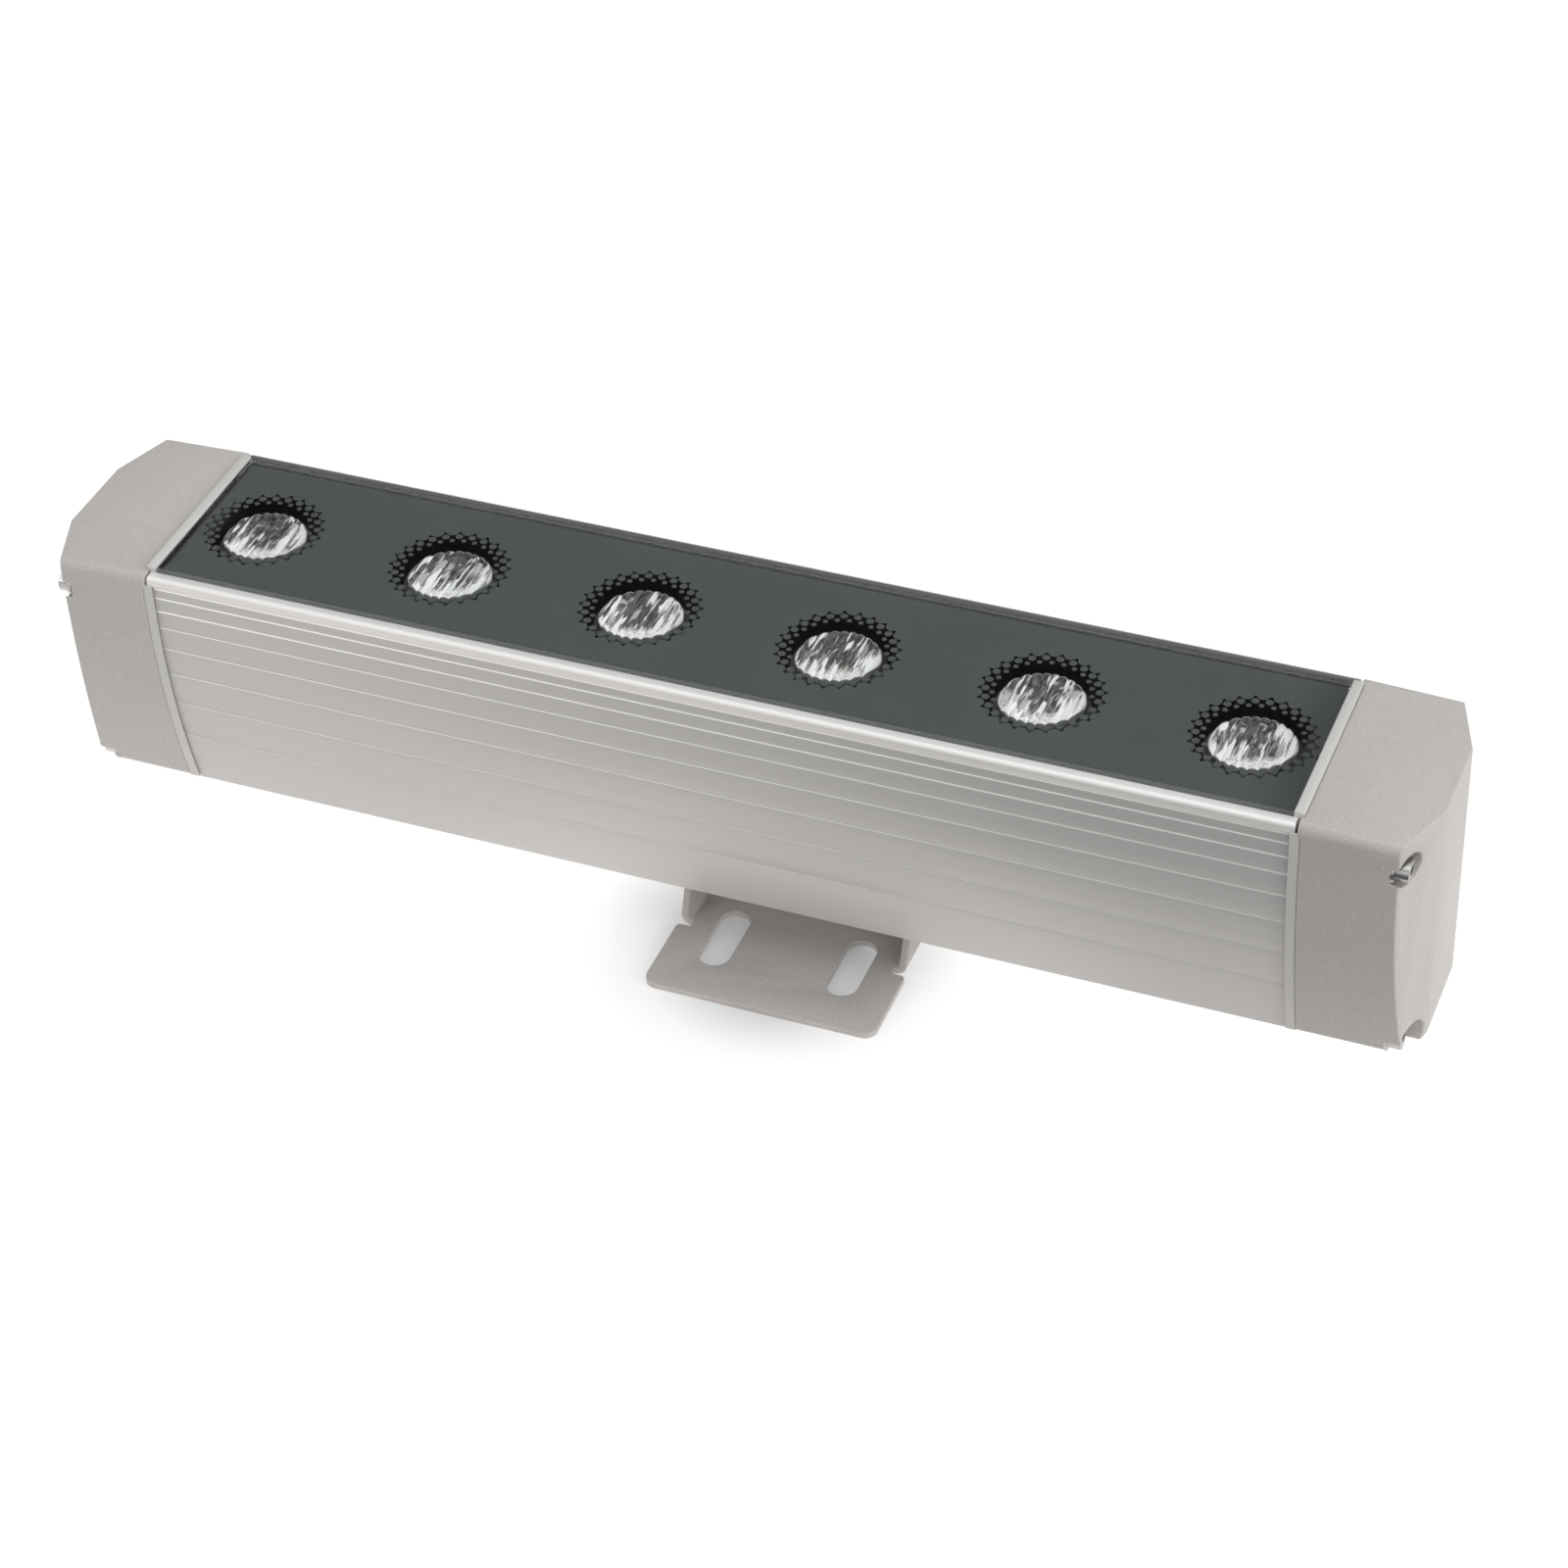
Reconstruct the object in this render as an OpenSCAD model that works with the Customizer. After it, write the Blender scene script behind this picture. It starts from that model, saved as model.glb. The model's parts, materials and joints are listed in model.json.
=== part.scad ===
// Linear outdoor wall floodlight: six LEDs behind a printed glass, in a curved aluminium
// extrusion with cast end caps, carried by a slotted wall bracket that tilts and slides.
// Millimetres. The origin is midway between the two slots, on the bracket's wall face.
// +X runs along the light, +Y away from the slotted edge, +Z from the wall to the glass.

/* [Head] */
// Length of the aluminium extrusion
extrusion_l = 313.4; // [300:1:360]
// Width across the flat upper sides
head_w = 60.4; // [58:0.2:64]
// Height from the underside to the top of the rails
head_h = 73; // [70:0.5:80]
// Radius of the curved lower sides
side_r = 240; // [200:5:400]
// Height at which the sides start to curve in
curve_z = 61; // [58:0.5:64]
// Thickness of the outer walls
wall = 2.6; // [2:0.1:3]

/* [Optics] */
// Distance from one LED to the next
led_pitch = 55; // [48:0.5:56]
// Diameter of a lens
lens_d = 22.6; // [20:0.2:24]
// Height of a lens above the LED board
lens_h = 12.1; // [11:0.1:13]
// Space between the lens and the glass
lens_gap = 2.5; // [1.5:0.1:4]
// Thickness of the front glass
glass_t = 4; // [3:0.5:5]
// Height of the glass above the rails
glass_rise = 1.9; // [1:0.1:2.5]

/* [End caps] */
// Length of an end cap, without the gasket
cap_l = 32.1; // [28:0.1:40]
// How far the cap stands out from the extrusion's sides
cap_proud = 0.9; // [0.6:0.1:1.5]
// Height of the cap above the rails
cap_rise = 3.5; // [2.5:0.1:5]
// Width of the flat end between the two angled faces
end_flat_w = 25.6; // [16:0.2:32]
// How far the angled faces run back from the end
end_taper = 6.7; // [4:0.1:9]
// Diameter of the cable that the gland takes
cable_d = 7; // [6:0.1:7.4]

/* [Bracket] */
// Width of the wall plate along the light
plate_w = 65.8; // [62:0.2:80]
// Depth of the wall plate in front of its ears
plate_front = 24.5; // [20:0.5:30]
// Thickness of the sheet
sheet_t = 2; // [1.8:0.1:3]
// Length of a slot from end to end
slot_l = 22.8; // [14:0.2:23]
// Width of a slot
slot_w = 8.6; // [5:0.2:9]
// Distance between the two slots
slot_pitch = 36.6; // [24:0.2:42]
// Height of the tilt axis above the wall
axis_z = 12; // [11.8:0.1:14]
// How far the head has been slid away from the middle of the bracket
head_shift = -16.9; // [-60:0.1:60]

/* [Hidden] */
$fn = 96;

// One overrun for every cut, and one thin gap for faces of pieces that move apart
over = 1;
slide_gap = 0.15;
fit_gap = 0.05;
running_gap = 0.08;
seat_gap = 0.3;

// Head: what follows from the sizes above, in the head's own frame
half_w = head_w / 2;
half_l = extrusion_l / 2;
led_count = 6;
rail_r = 1.25;
rail_out = 0.5;
rail_y = half_w + rail_out - rail_r;
pocket_y = 27.5;
seal_t = 1.4;
print_t = 0.15;
glass_z = head_h + glass_rise - glass_t;
print_z = glass_z - print_t;
ledge_z = print_z - seal_t;
board_t = 1.6;
pad_t = 0.3;
board_z = glass_z - lens_gap - lens_h;
shelf_z = board_z - board_t - pad_t;
shelf_t = 4;
shelf_low = shelf_z - shelf_t;
chamber_y = 22.5;
block_z = 60;

// Screw ports of the extrusion, upper and lower
port_drop = 7.8;
port_y = 26.7;
port_z = head_h - port_drop;
foot_port_y = 19.5;
foot_port_z = 3.6;
port_r = 1.9;
port_wall_r = 3.4;
ports = [for (s = [-1, 1]) each [[s * port_y, port_z], [s * foot_port_y, foot_port_z]]];

// Channel for the nuts under the extrusion
mouth_w = 5.8;
channel_w = 8.6;
lip_t = 2.2;
channel_h = 5.6;
channel_wall = 2;

// Tray and its tracks inside the extrusion
tray_t = 1.5;
track_t = 1.2;
track_depth = 2.4;
track_z = 12;
track_gap = 0.2;
tray_z = track_z + track_t + track_gap;
tray_l = 236;
tray_x = 8;

// Grooves down the sides: places as shares of the head's height, chosen by eye
groove_shares = [0.962, 0.921, 0.861, 0.786, 0.687, 0.565, 0.419, 0.248];
groove_w = 0.7;

// End caps and gaskets
web_t = 0.7;
lip_w = 2.6;
lip_back = 1.2;
lip_proud = 0.7;
gasket_rise = 0.3;
cap_x = half_l + web_t;
cap_end = cap_x + cap_l;
cap_top = head_h + cap_rise;
cap_low = 0.2;
cap_wall = 3;
cap_end_wall = 4;
cap_top_r = 4;
cap_foot_r = 3;
extrusion_foot_r = 0.8;
edge_bevel = 0.6;
lip_x0 = half_l - lip_back;
lip_x1 = lip_x0 + lip_w;
lip_top = head_h - rail_r - rail_out;
glass_l = 2 * (lip_x0 - fit_gap);
glass_w = 54.6;
glass_bevel = 0.4;

// Cap screws and the recesses that they sink into
recess_depth = 8.7;
recess_r = 5;
recess_wall = 1.6;
cap_hole_r = 2.15;
cap_head_r = 3.5;
cap_head_h = 3.4;
cap_washer_r = 4.5;
cap_washer_t = 0.8;
cap_screw_grip = 18;
cap_boss_r = 4;
recess_floor = cap_end - recess_depth;

// Bracket and saddle
half_plate = plate_w / 2;
ear_inset = 0.4;
ear_out = half_plate - ear_inset;
ear_in = ear_out - sheet_t;
bend_r = 1.5;
bend_out_r = bend_r + sheet_t;
ear_r = 9;
ear_half = 13.4;
relief_w = 2.1;
relief_depth = 4;
relief_r = relief_w / 2;
plate_corner_r = 3.5;
back_corner_r = 1.2;
axis_y = 17;
ear_y0 = axis_y - ear_half;
plate_back = axis_y + ear_half;
plate_y1 = ear_y0 - relief_w;
plate_y0 = plate_y1 - plate_front;
head_z = 21.5;
ear_gap = 1.2;
saddle_out = ear_in - ear_gap;
saddle_half_y = 9;
saddle_ear_r = 6.5;
saddle_top = head_z - slide_gap;
pivot_r = 2.5;
pivot_hole_r = pivot_r + running_gap;
saddle_screw_x = 14;
nut_h = 4;
nut_w = 8;

// Lens, holder and shield, measured up from the LED board
lens_r = lens_d / 2;
flute_pitch = 2.4;
flute_h = 0.6;
flute_r = (flute_pitch * flute_pitch / 4 + flute_h * flute_h) / (2 * flute_h);
flute_count = 9;
lens_rim_h = 3.1;
lens_foot_z = 1.2;
lens_foot_r = 5.2;
lens_rim_w = 0.9;
lens_neck_r = lens_r - lens_rim_w;
lens_recess_r = 3.3;
lens_recess_h = 3.4;
holder_t = 1.1;
holder_gap = 0.1;
holder_floor = 0.9;
holder_hole_r = 3.6;
holder_lip = 0.9;
shoulder_z = 3.7;
shoulder_w = 0.9;
shield_t = 0.8;
shield_gap = 0.3;

// Print windows: a ring of scallops round each lens
window_r = 16.5;
scallop_count = 25;
scallop_r = 1.7;
scallop_ring_r = 16.75;
print_margin = 1;

// Head frame: X along the light, Y across it, Z up from its underside
module head() {
    translate([head_shift, axis_y, head_z]) children();
}

// A profile in Y and Z, drawn out along X
module along(x0, x1) {
    translate([x0, 0, 0]) rotate([90, 0, 90]) linear_extrude(x1 - x0) children();
}

// A profile in X and Z, drawn out along Y
module across(y0, y1) {
    translate([0, y1, 0]) rotate([90, 0, 0]) linear_extrude(y1 - y0) children();
}

// A round piece whose axis runs along X
module round_x(x0, x1, r) {
    translate([x0, 0, 0]) rotate([0, 90, 0]) cylinder(r = r, h = x1 - x0);
}

// Half width of the head's side at height z, grown outwards by grow
function side_y(z, grow = 0) = z > curve_z ? half_w + grow
    : half_w - side_r + sqrt(pow(side_r + grow, 2) - pow(curve_z - z, 2));

// The head's section between two heights, grown outwards by grow
module section(grow, z0, z1) {
    intersection() {
        for_side(1) circle(r = side_r + grow, $fn = 256);
        for_side(-1) circle(r = side_r + grow, $fn = 256);
        translate([-half_w - over, z0]) square([2 * (half_w + over), min(z1, curve_z) - z0]);
    }
    if (z1 > curve_z)
        translate([-half_w - grow, curve_z]) square([2 * (half_w + grow), z1 - curve_z]);
}

module for_side(s) {
    translate([s * (half_w - side_r), curve_z]) children();
}

// What a rounding of radius r takes off the section's two lower corners
module foot_cut(grow, z0, r) {
    cz = z0 + r;
    cy = half_w - side_r + sqrt(pow(side_r + grow - r, 2) - pow(curve_z - cz, 2));
    reach = over + r;
    up = [cy - (half_w - side_r), cz - curve_z] / (side_r + grow - r);
    for (s = [-1, 1]) scale([s, 1]) difference() {
        polygon([[cy, cz], [cy, z0 - reach], [cy + 2 * reach, z0 - reach],
            [cy, cz] + 2 * reach * up]);
        translate([cy, cz]) circle(r = r);
    }
}

module bevelled(w, h, e) {
    polygon([[-w / 2 + e, 0], [w / 2 - e, 0], [w / 2, e], [w / 2, h - e],
        [w / 2 - e, h], [-w / 2 + e, h], [-w / 2, h - e], [-w / 2, e]]);
}

function led_x(i) = (i - (led_count + 1) / 2) * led_pitch;

// Extrusion

module side_grooves() {
    for (share = groove_shares, s = [-1, 1])
        translate([s * side_y(share * head_h), share * head_h])
            rotate(45) square(groove_w * sqrt(1 / 2), center = true);
}

module nut_channel() {
    translate([-mouth_w / 2, -over]) square([mouth_w, lip_t + 2 * over]);
    translate([-channel_w / 2, lip_t]) square([channel_w, channel_h]);
}

module lower_hollow() {
    difference() {
        section(-wall, wall, shelf_low);
        translate([-channel_w / 2 - channel_wall, 0])
            square([channel_w + 2 * channel_wall, lip_t + channel_h + channel_wall]);
        for (s = [-1, 1]) {
            translate([s * foot_port_y, foot_port_z]) circle(r = port_wall_r);
            for (z = [track_z, tray_z + tray_t + track_gap])
                scale([s, 1]) translate([side_y(tray_z, -wall) - track_depth, z])
                    square([track_depth + over, track_t]);
        }
    }
}

module extrusion_profile() {
    difference() {
        union() {
            section(0, 0, head_h - rail_r);
            for (s = [-1, 1]) scale([s, 1]) {
                translate([pocket_y, head_h - rail_r]) square([rail_y - pocket_y, rail_r]);
                translate([rail_y, head_h - rail_r]) circle(r = rail_r);
            }
        }
        foot_cut(0, 0, extrusion_foot_r);
        side_grooves();
        nut_channel();
        lower_hollow();
        translate([-pocket_y, ledge_z]) square([2 * pocket_y, head_h]);
        translate([-chamber_y, shelf_z]) square([2 * chamber_y, ledge_z]);
        translate([-side_y(block_z, -wall), shelf_z])
            square([2 * side_y(block_z, -wall), block_z - shelf_z]);
        for (p = ports) translate(p) circle(r = port_r);
    }
}

module extrusion() {
    color([0.76, 0.76, 0.75]) head() difference() {
        along(-half_l, half_l) extrusion_profile();
        for (x = board_screw_x) translate([x, 0, shelf_low - over])
            cylinder(r = board_screw_r + fit_gap, h = shelf_t + 2 * over);
    }
}

// Front glass, its print and its seal

module front_glass() {
    color([0.6, 0.65, 0.65, 0.35]) head() translate([0, 0, glass_z]) intersection() {
        along(-glass_l / 2, glass_l / 2) bevelled(glass_w, glass_t, glass_bevel);
        across(-glass_w / 2, glass_w / 2) bevelled(glass_l, glass_t, glass_bevel);
    }
}

module print_window() {
    difference() {
        circle(r = window_r);
        for (k = [1 : scallop_count]) rotate((k + 1 / 2) * 360 / scallop_count)
            translate([0, scallop_ring_r]) circle(r = scallop_r);
    }
}

module glass_print() {
    print_l = glass_l - 2 * print_margin;
    print_w = glass_w - 2 * print_margin;
    color([0.2, 0.22, 0.22]) head() translate([0, 0, print_z])
        linear_extrude(print_t) difference() {
        square([print_l, print_w], center = true);
        for (i = [1 : led_count]) translate([led_x(i), 0]) print_window();
    }
}

module glass_seal() {
    seal_l = glass_l - 2 * seat_gap;
    seal_w = 2 * (pocket_y - seat_gap);
    seal_rim = pocket_y - chamber_y - seat_gap;
    color([0.1, 0.1, 0.1]) head() translate([0, 0, ledge_z]) linear_extrude(seal_t) difference() {
        square([seal_l, seal_w], center = true);
        square([seal_l - 2 * seal_rim, seal_w - 2 * seal_rim], center = true);
    }
}

// End caps, modelled at the right-hand end and mirrored for the left

module cap_profile() {
    w = half_w + cap_proud;
    difference() {
        union() {
            section(cap_proud, cap_low, cap_top - cap_top_r);
            translate([-w + cap_top_r, cap_top - cap_top_r]) square([2 * (w - cap_top_r), cap_top_r]);
            for (s = [-1, 1])
                translate([s * (w - cap_top_r), cap_top - cap_top_r]) circle(r = cap_top_r);
        }
        foot_cut(cap_proud, cap_low, cap_foot_r);
    }
}

function taper_x(y, inset = 0) = cap_end - inset
    - max(0, y - end_flat_w / 2) * end_taper / (half_w + cap_proud - end_flat_w / 2);

// The cap's plan, inset from the end
module cap_plan(inset) {
    y = half_w + cap_proud + over;
    polygon([[cap_x, -y], [taper_x(y, inset), -y], [cap_end - inset, -end_flat_w / 2],
        [cap_end - inset, end_flat_w / 2], [taper_x(y, inset), y], [cap_x, y]]);
}

// The cap's long section, whose end has small bevels at top and bottom
module cap_long_section() {
    polygon([[cap_x, cap_low], [cap_end - edge_bevel, cap_low], [cap_end, cap_low + edge_bevel],
        [cap_end, cap_top - edge_bevel], [cap_end - edge_bevel, cap_top], [cap_x, cap_top]]);
}

module cap_bosses() {
    for (p = ports) translate([0, p[0], p[1]]) {
        round_x(cap_x, cap_end, cap_boss_r);
        round_x(recess_floor - cap_wall, cap_end, recess_r + recess_wall);
    }
}

module cap_shell() {
    intersection() {
        along(cap_x, cap_end) cap_profile();
        translate([0, 0, cap_low - over]) linear_extrude(cap_top) cap_plan(0);
        across(-half_w - cap_proud - over, half_w + cap_proud + over) cap_long_section();
        union() {
            difference() {
                along(cap_x, cap_end) section(half_w, cap_low - over, cap_top + over);
                intersection() {
                    along(cap_x - over, cap_end)
                        section(cap_proud - cap_wall, cap_wall, cap_top - cap_wall);
                    translate([-over, 0, 0]) linear_extrude(cap_top) cap_plan(cap_end_wall - over);
                }
            }
            cap_bosses();
        }
    }
}

module end_cap() {
    rebate_x = lip_x1 + fit_gap;
    difference() {
        cap_shell();
        for (p = ports) translate([0, p[0], p[1]]) {
            round_x(cap_x - over, cap_end, cap_hole_r);
            round_x(recess_floor, cap_end + over, recess_r);
        }
        // Rebate for the lips and the bar of the gasket
        along(cap_x - over, rebate_x) {
            difference() {
                section(half_w, extrusion_foot_r, lip_top + fit_gap);
                section(-fit_gap, 0, cap_top);
            }
            translate([-pocket_y, ledge_z - seat_gap]) square([2 * pocket_y, cap_top]);
        }
    }
}

module left_end_cap() {
    color([0.72, 0.71, 0.69]) head() difference() {
        mirror([1, 0, 0]) union() {
            end_cap();
            translate([0, 0, gland_z])
                round_x(cap_end - gland_thread_l, cap_end - cap_end_wall / 2, gland_boss_r);
        }
        translate([-cap_end - over, 0, gland_z])
            round_x(0, gland_thread_l + 2 * over, gland_thread_r + fit_gap);
    }
}

module right_end_cap() {
    color([0.72, 0.71, 0.69]) head() end_cap();
}

module gasket_lip(grow) {
    difference() {
        section(lip_proud, extrusion_foot_r, lip_top);
        section(grow, 0, head_h);
    }
}

// The part of the gasket that stops the end of the glass, from height z
module gasket_bar(z) {
    translate([-pocket_y + fit_gap, z])
        square([2 * (pocket_y - fit_gap), glass_z + glass_t + gasket_rise - z]);
}

module end_gasket() {
    difference() {
        union() {
            along(half_l, cap_x) {
                section(lip_proud, extrusion_foot_r, ledge_z);
                gasket_bar(ledge_z - web_t);
            }
            along(half_l, lip_x1) gasket_lip(0);
            along(lip_x0, lip_x1) {
                gasket_lip(fit_gap);
                gasket_bar(ledge_z);
            }
        }
        along(half_l - over, cap_x + over) gasket_opening();
        for (p = ports) translate([0, p[0], p[1]]) round_x(half_l - over, cap_x + over, cap_hole_r);
    }
}

// The middle of the gasket's web is open to both hollows
module gasket_opening() {
    difference() {
        section(-wall - seat_gap, wall, shelf_low);
        translate([-channel_w / 2 - channel_wall, 0])
            square([channel_w + 2 * channel_wall, lip_t + channel_h + channel_wall]);
        for (s = [-1, 1]) translate([s * foot_port_y, foot_port_z]) circle(r = port_wall_r);
    }
    translate([-chamber_y + over, shelf_z]) square([2 * (chamber_y - over), ledge_z - over - shelf_z]);
}

module left_end_gasket() {
    color([0.78, 0.78, 0.77]) head() mirror([1, 0, 0]) end_gasket();
}

module right_end_gasket() {
    color([0.78, 0.78, 0.77]) head() end_gasket();
}

// A pan-head screw that points along -X from the seat of its head, with a hexagon socket
module screw_x(head_r, head_h, r, l) {
    socket_share = 0.85;
    difference() {
        union() {
            round_x(0, head_h, head_r);
            round_x(-l, over, r);
        }
        translate([head_h / 2, 0, 0]) rotate([0, 90, 0])
            cylinder(r = r * socket_share, h = head_h, $fn = 6);
    }
}

module at_recesses(x) {
    head() for (s = [0, 1], p = ports) mirror([s, 0, 0])
        translate([recess_floor + x, p[0], p[1]]) children();
}

module end_cap_screws() {
    length = cap_washer_t + recess_floor - half_l + cap_screw_grip;
    color([0.8, 0.8, 0.8]) at_recesses(cap_washer_t)
        screw_x(cap_head_r, cap_head_h, port_r - fit_gap, length);
}

module end_cap_washers() {
    color([0.8, 0.8, 0.8]) at_recesses(0) difference() {
        round_x(0, cap_washer_t, cap_washer_r);
        round_x(-over, cap_washer_t + over, cap_hole_r);
    }
}

// LED board and what stands on it

board_l = 304;
board_w = 42;
board_screw_r = 1.5;
board_head_r = 2.75;
board_head_h = 1.9;
board_screw_x = [for (i = [1 : led_count - 1]) led_x(i) + led_pitch / 2];
led_w = 3.5;
led_base = 1;
led_dome_r = 1.4;
connector_l = 9;
connector_w = 7;
connector_h = 3;
connector_x = 151;
connector_y = 16.5;

module on_board() {
    head() translate([0, 0, board_z]) children();
}

module thermal_pad() {
    color([0.55, 0.6, 0.7]) on_board() translate([0, 0, -board_t - pad_t])
        linear_extrude(pad_t) difference() {
            square([board_l - 2 * over, board_w - 2 * over], center = true);
            for (x = board_screw_x) translate([x, 0]) circle(r = board_head_r);
        }
}

module led_board() {
    color([0.9, 0.9, 0.88]) on_board() translate([0, 0, -board_t]) linear_extrude(board_t) difference() {
        square([board_l, board_w], center = true);
        for (x = board_screw_x) translate([x, 0]) circle(r = board_screw_r + fit_gap);
    }
}

// A pan-head screw that points down from the seat of its head
module screw_down(head_r, head_h, r, l) {
    rotate([0, -90, 0]) screw_x(head_r, head_h, r, l);
}

module board_screws() {
    length = board_t + pad_t + shelf_t;
    color([0.8, 0.8, 0.8]) on_board() for (x = board_screw_x)
        translate([x, 0, 0]) screw_down(board_head_r, board_head_h, board_screw_r, length);
}

module board_connector() {
    color([0.95, 0.95, 0.93]) on_board()
        translate([connector_x - connector_l / 2, connector_y, connector_h / 2]) difference() {
            cube([connector_l, connector_w, connector_h], center = true);
            for (s = [-1, 1]) translate([0, s * connector_w / 4, 0])
                round_x(0, connector_l, wire_r + fit_gap);
        }
}

module led(i) {
    color([0.95, 0.9, 0.4]) on_board() translate([led_x(i), 0, 0]) {
        translate([-led_w / 2, -led_w / 2, 0]) cube([led_w, led_w, led_base]);
        rotate_extrude() intersection() {
            translate([0, led_base]) circle(r = led_dome_r);
            translate([0, led_base / 2]) square([led_dome_r, led_base + led_dome_r]);
        }
    }
}

module lens(i) {
    rim_z = lens_h - lens_rim_h;
    flat_z = lens_h - flute_h;
    color([0.9, 0.92, 0.93, 0.5]) on_board() translate([led_x(i), 0, 0]) {
        rotate_extrude()
            polygon([[0, lens_foot_z + lens_recess_h], [lens_recess_r, lens_foot_z + lens_recess_h],
                [lens_recess_r, lens_foot_z], [lens_foot_r, lens_foot_z], [lens_neck_r, rim_z],
                [lens_r, rim_z], [lens_r, flat_z], [0, flat_z]]);
        intersection() {
            translate([0, 0, rim_z]) cylinder(r = lens_r, h = lens_h);
            union() {
                for (k = [1 : flute_count])
                    translate([(k - (flute_count + 1) / 2) * flute_pitch, 0, lens_h - flute_r])
                        rotate([90, 0, 0]) cylinder(r = flute_r, h = lens_d, center = true);
            }
        }
    }
}

module lens_holder(i) {
    rim_z = lens_h - lens_rim_h;
    in_r = lens_r + holder_gap;
    out_r = in_r + holder_t;
    color([0.06, 0.06, 0.06]) on_board() translate([led_x(i), 0, 0]) rotate_extrude()
        polygon([[holder_hole_r, 0], [out_r + shoulder_w, 0], [out_r + shoulder_w, shoulder_z],
            [out_r, shoulder_z], [out_r, rim_z + holder_lip], [in_r, rim_z + holder_lip],
            [in_r, rim_z], [lens_neck_r + seat_gap, rim_z], [lens_foot_r + seat_gap, holder_floor],
            [holder_hole_r, holder_floor]]);
}

// A black tray with a hole for each holder hides the board and the chamber's walls
module light_shield() {
    hole_r = lens_r + holder_gap + holder_t + shield_gap;
    y = chamber_y - shield_gap;
    l = glass_l - 4 * over;
    rim_h = ledge_z - board_z - shoulder_z;
    color([0.05, 0.05, 0.05]) on_board() translate([0, 0, shoulder_z]) {
        linear_extrude(shield_t) difference() {
            square([l, 2 * y], center = true);
            for (i = [1 : led_count]) translate([led_x(i), 0]) circle(r = hole_r);
        }
        linear_extrude(rim_h) difference() {
            square([l, 2 * y], center = true);
            square([l - 2 * shield_t, 2 * (y - shield_t)], center = true);
        }
    }
}

// Driver, tray, terminals and wires in the lower hollow

driver_l = 150;
driver_w = 30;
driver_h = 21;
driver_foot_l = 9;
driver_foot_h = 3;
driver_x = 28;
driver_screw_r = 1.5;
terminal_pole = 8;
terminal_poles = 3;
terminal_l = 20;
terminal_h = 14;
terminal_gap = 37;
terminal_x = driver_x - driver_l / 2 - terminal_gap;
wire_r = 0.8;
wire_lift = 5;
earth_gap = 11;
earth_x = driver_x - driver_l / 2 - earth_gap;
earth_y = 16;
earth_r = 2;

module on_tray() {
    head() translate([0, 0, tray_z + tray_t]) children();
}

driver_hole_x = driver_l / 2 + driver_foot_l / 2;

module driver_tray() {
    color([0.8, 0.8, 0.8]) on_tray() difference() {
        translate([tray_x - tray_l / 2, -side_y(tray_z, -wall) + seat_gap, -tray_t])
            cube([tray_l, 2 * (side_y(tray_z, -wall) - seat_gap), tray_t]);
        for (s = [-1, 1]) translate([driver_x + s * driver_hole_x, 0, -tray_t - over])
            cylinder(r = driver_screw_r + fit_gap, h = tray_t + 2 * over);
        for (s = [-1, 1]) translate([terminal_x, s * terminal_pole, -tray_t - over])
            cylinder(r = driver_screw_r + fit_gap, h = tray_t + 2 * over);
        translate([earth_x, earth_y, -tray_t - over])
            cylinder(r = earth_r + fit_gap, h = tray_t + 2 * over);
    }
}

module led_driver() {
    color([0.93, 0.93, 0.92]) on_tray() translate([driver_x, 0, 0]) difference() {
        union() {
            translate([-driver_l / 2, -driver_w / 2, 0]) along(0, driver_l)
                translate([driver_w / 2, 0]) bevelled(driver_w, driver_h, 2 * over);
            translate([-driver_l / 2 - driver_foot_l, -driver_w / 4, 0])
                cube([driver_l + 2 * driver_foot_l, driver_w / 2, driver_foot_h]);
        }
        for (s = [-1, 1]) {
            translate([s * driver_hole_x, 0, -over])
                cylinder(r = driver_screw_r + fit_gap, h = driver_foot_h + 2 * over);
            for (t = [-1, 1]) translate([s * driver_l / 2, t * driver_w / 4, driver_h / 2])
                round_x(-wire_lift, wire_lift, wire_r + fit_gap);
        }
    }
}

module driver_screws() {
    color([0.8, 0.8, 0.8]) on_tray() for (s = [-1, 1])
        translate([driver_x + s * driver_hole_x, 0, driver_foot_h])
            screw_down(board_head_r, board_head_h, driver_screw_r, driver_foot_h + tray_t + over);
}

module terminal_block() {
    w = terminal_pole * terminal_poles;
    color([0.93, 0.93, 0.9]) on_tray() translate([terminal_x, 0, 0]) difference() {
        translate([-terminal_l / 2, -w / 2, 0]) cube([terminal_l, w, terminal_h]);
        for (k = [-1 : 1]) translate([0, k * terminal_pole, terminal_h / 2]) {
            round_x(-terminal_l, terminal_l, wire_r + fit_gap);
            for (s = [-1, 1]) translate([s * terminal_l / 4, 0, 0])
                cylinder(r = 2 * wire_r, h = terminal_h);
        }
        for (s = [-1, 1]) translate([0, s * terminal_pole, -over]) {
            cylinder(r = driver_screw_r + fit_gap, h = terminal_h + 2 * over);
            translate([0, 0, terminal_h / 2 + 2 * over])
                cylinder(r = board_head_r + fit_gap, h = terminal_h);
        }
    }
}

module terminal_screws() {
    seat = terminal_h / 2 + over;
    color([0.8, 0.8, 0.8]) on_tray() for (s = [-1, 1])
        translate([terminal_x, s * terminal_pole, seat])
            screw_down(board_head_r, board_head_h, driver_screw_r, seat + tray_t + over);
}

module earth_screw() {
    color([0.85, 0.75, 0.4]) on_tray() translate([earth_x, earth_y, 2 * wire_r])
        screw_down(2 * earth_r, earth_r, earth_r, 2 * wire_r + tray_t + over);
}

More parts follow.
